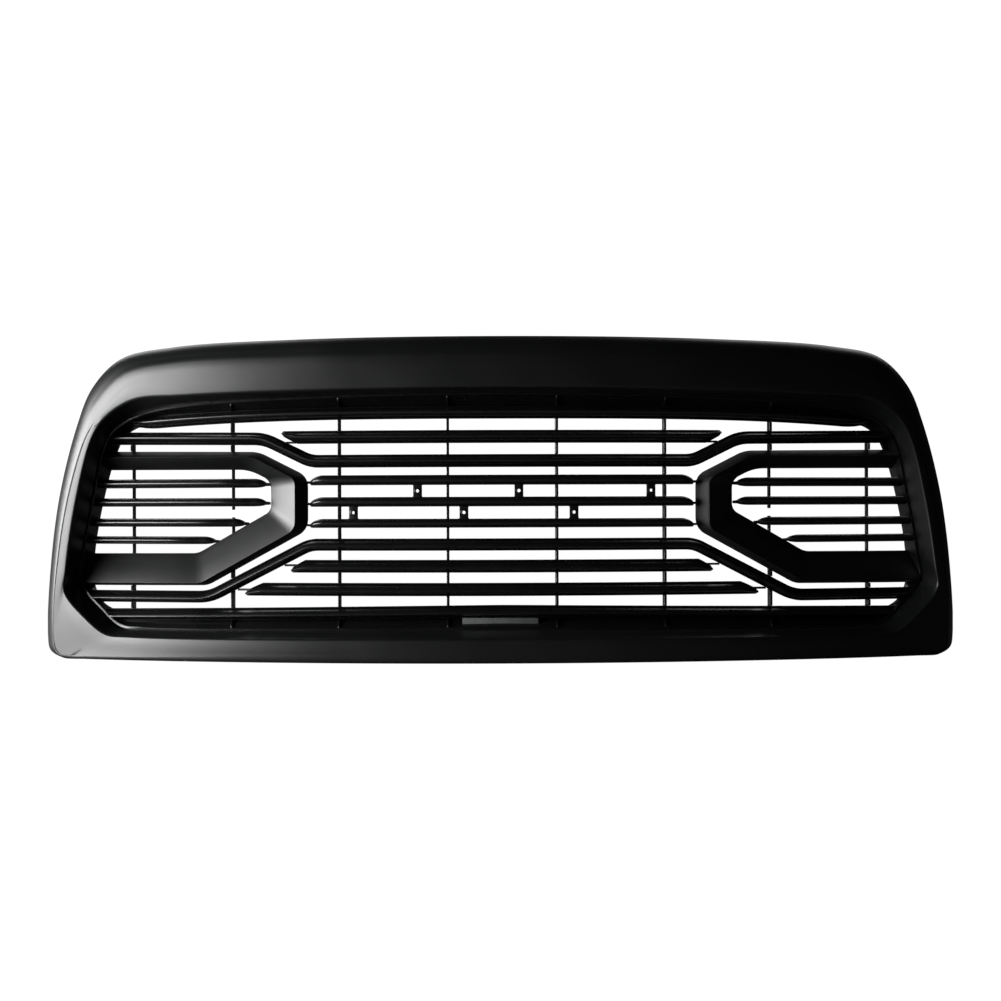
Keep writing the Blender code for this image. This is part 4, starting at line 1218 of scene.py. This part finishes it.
def springClip(name, node):
    # a strip of spring steel folded round the end of its tab
    low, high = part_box(node)
    spot = boxMiddle(node)
    wide, thick = high.x - low.x, 0.0008
    upper, lower = high.z - thick / 2, low.z + thick / 2
    front, rear = low.y, high.y - thick / 2
    bend = (upper - lower) / 2
    line = [(front + 0.0002, upper - 0.0001), (rear - bend, upper)]
    for k in range(1, 12):
        angle = k * math.pi / 12
        line.append((rear - bend + bend * math.sin(angle), spot.z + bend * math.cos(angle)))
    line += [(rear - bend, lower), (front + 0.0002, lower + 0.0001)]
    outer, inside = [], []
    for k, (y, z) in enumerate(line):
        before, after = line[max(k - 1, 0)], line[min(k + 1, len(line) - 1)]
        along = (Vector(after) - Vector(before)).normalized()
        outer.append((y - along.y * thick / 2, z + along.x * thick / 2))
        inside.append((y + along.y * thick / 2, z - along.x * thick / 2))
    loop = outer + inside[::-1]
    count = len(loop)
    points = [(spot.x + side * wide / 2, y, z) for side in (-1, 1) for y, z in loop]
    faces = [(k, (k + 1) % count, count + (k + 1) % count, count + k) for k in range(count)]
    for base in (0, count):
        faces += [(base + k, base + k + 1, base + count - k - 2, base + count - k - 1)
                  for k in range(len(line) - 1)]
    clip = meshObject(name, points, faces)
    bevel(clip, 0.0002, 1, 60)
    clip = baked(clip)
    finished(clip, zincSteel, "steel", node)


for number in (1, 2):
    springClip(f"lowerSpringClip{number}", f"lower_spring_clip_{number}")
print("fasteners made")


def emptyLook(obj, target):
    obj.rotation_euler = (Vector(target) - obj.location).to_track_quat("-Z", "Y").to_euler()


def areaLight(name, place, target, size, power, color="ffffff"):
    data = bpy.data.lights.new(name, "AREA")
    data.shape = "RECTANGLE"
    data.size, data.size_y = size
    data.energy = power
    data.color = hexColor(color)[:3]
    made = bpy.data.objects.new(name, data)
    scene.collection.objects.link(made)
    made.location = place
    emptyLook(made, target)
    return made


stageLook = {
    "floorSize": 30.0, "floor": "757574", "floorLight": "7c7c7b", "floorGlow": 1.09, "glowShare": 0.92,
    "skyBright": 1.05, "skyDim": 0.012, "lens": 83.54, "distance": 3.004, "height": 0.2115, "roll": 0.175,
    "fromLeft": 0.015, "aimRight": 0.0011,
}


def paleFloor():
    # a lit white sweep to the eye, and a plain dim floor to anything that mirrors it
    made, tree, shader = newMaterial("paleFloor")
    where = addNode(tree, "ShaderNodeTexCoord").outputs["Object"]
    mottle = addNode(tree, "ShaderNodeTexNoise", {"Vector": where}, Scale=3.0, Detail=3.0)
    tone = addNode(tree, "ShaderNodeMix", {0: mottle.outputs[0]}, {"data_type": "RGBA"})
    setSocket(tone, 6, hexColor(stageLook["floor"]))
    setSocket(tone, 7, hexColor(stageLook["floorLight"]))
    tree.links.new(tone.outputs[2], shader.inputs["Base Color"])
    shader.inputs["Roughness"].default_value = 0.9
    glow = addNode(tree, "ShaderNodeEmission", Strength=stageLook["floorGlow"])
    ray = addNode(tree, "ShaderNodeLightPath")
    share = addNode(tree, "ShaderNodeMath", {0: ray.outputs["Is Camera Ray"]}, {"operation": "MULTIPLY"})
    setSocket(share, 1, stageLook["glowShare"])
    both = addNode(tree, "ShaderNodeMixShader",
                   {0: share.outputs[0], 1: shader.outputs[0], 2: glow.outputs[0]})
    tree.links.new(both.outputs[0], tree.nodes["Material Output"].inputs["Surface"])
    half = stageLook["floorSize"] / 2
    corners = [(x * half, y * half, -0.0002) for x, y in ((-1, -1), (1, -1), (1, 1), (-1, 1))]
    floor = meshObject("floor", corners, [(0, 1, 2, 3)])
    floor.data.materials.append(made)


paleFloor()
world = bpy.data.worlds.new("paleStudio")
world.use_nodes = True
scene.world = world
sky = world.node_tree
sky.nodes.clear()
ray = addNode(sky, "ShaderNodeLightPath")
bright = addNode(sky, "ShaderNodeBackground", Color=(1, 1, 1, 1), Strength=stageLook["skyBright"])
dim = addNode(sky, "ShaderNodeBackground", Color=(1, 1, 1, 1), Strength=stageLook["skyDim"])
choice = addNode(sky, "ShaderNodeMixShader",
                 {0: ray.outputs["Is Camera Ray"], 1: dim.outputs[0], 2: bright.outputs[0]})
addNode(sky, "ShaderNodeOutputWorld", {"Surface": choice.outputs[0]})

centre = Vector((0, frontY + 0.06, 0.21))
lamps = {  # turn to the left of the front view and height in degrees, distance, size, power
    "mainSoftbox": (78, 4, 2.6, (2.8, 1.1), 225),
    "rearLeft": (150, 35, 2.8, (1.2, 1.2), 10),
    "rearRight": (-150, 35, 2.8, (1.2, 1.2), 6),
}
for name, (turn, height, distance, size, power) in lamps.items():
    turn, height = math.radians(turn), math.radians(height)
    out = Vector((-math.sin(turn) * math.cos(height), -math.cos(turn) * math.cos(height), math.sin(height)))
    areaLight(name, centre + out * distance, centre, size, power)

cameraData = bpy.data.cameras.new("frontCamera")
cameraData.lens = stageLook["lens"]
cameraData.sensor_width = 36
camera = bpy.data.objects.new("frontCamera", cameraData)
scene.collection.objects.link(camera)
left = stageLook["fromLeft"]
camera.location = Vector((-math.sin(left), -math.cos(left), 0)) * stageLook["distance"]
camera.location += Vector((0, frontY, stageLook["height"]))
camera.rotation_euler = (math.radians(90), math.radians(stageLook["roll"]), stageLook["aimRight"] - left)
scene.camera = camera
scene.view_settings.view_transform = "Standard"
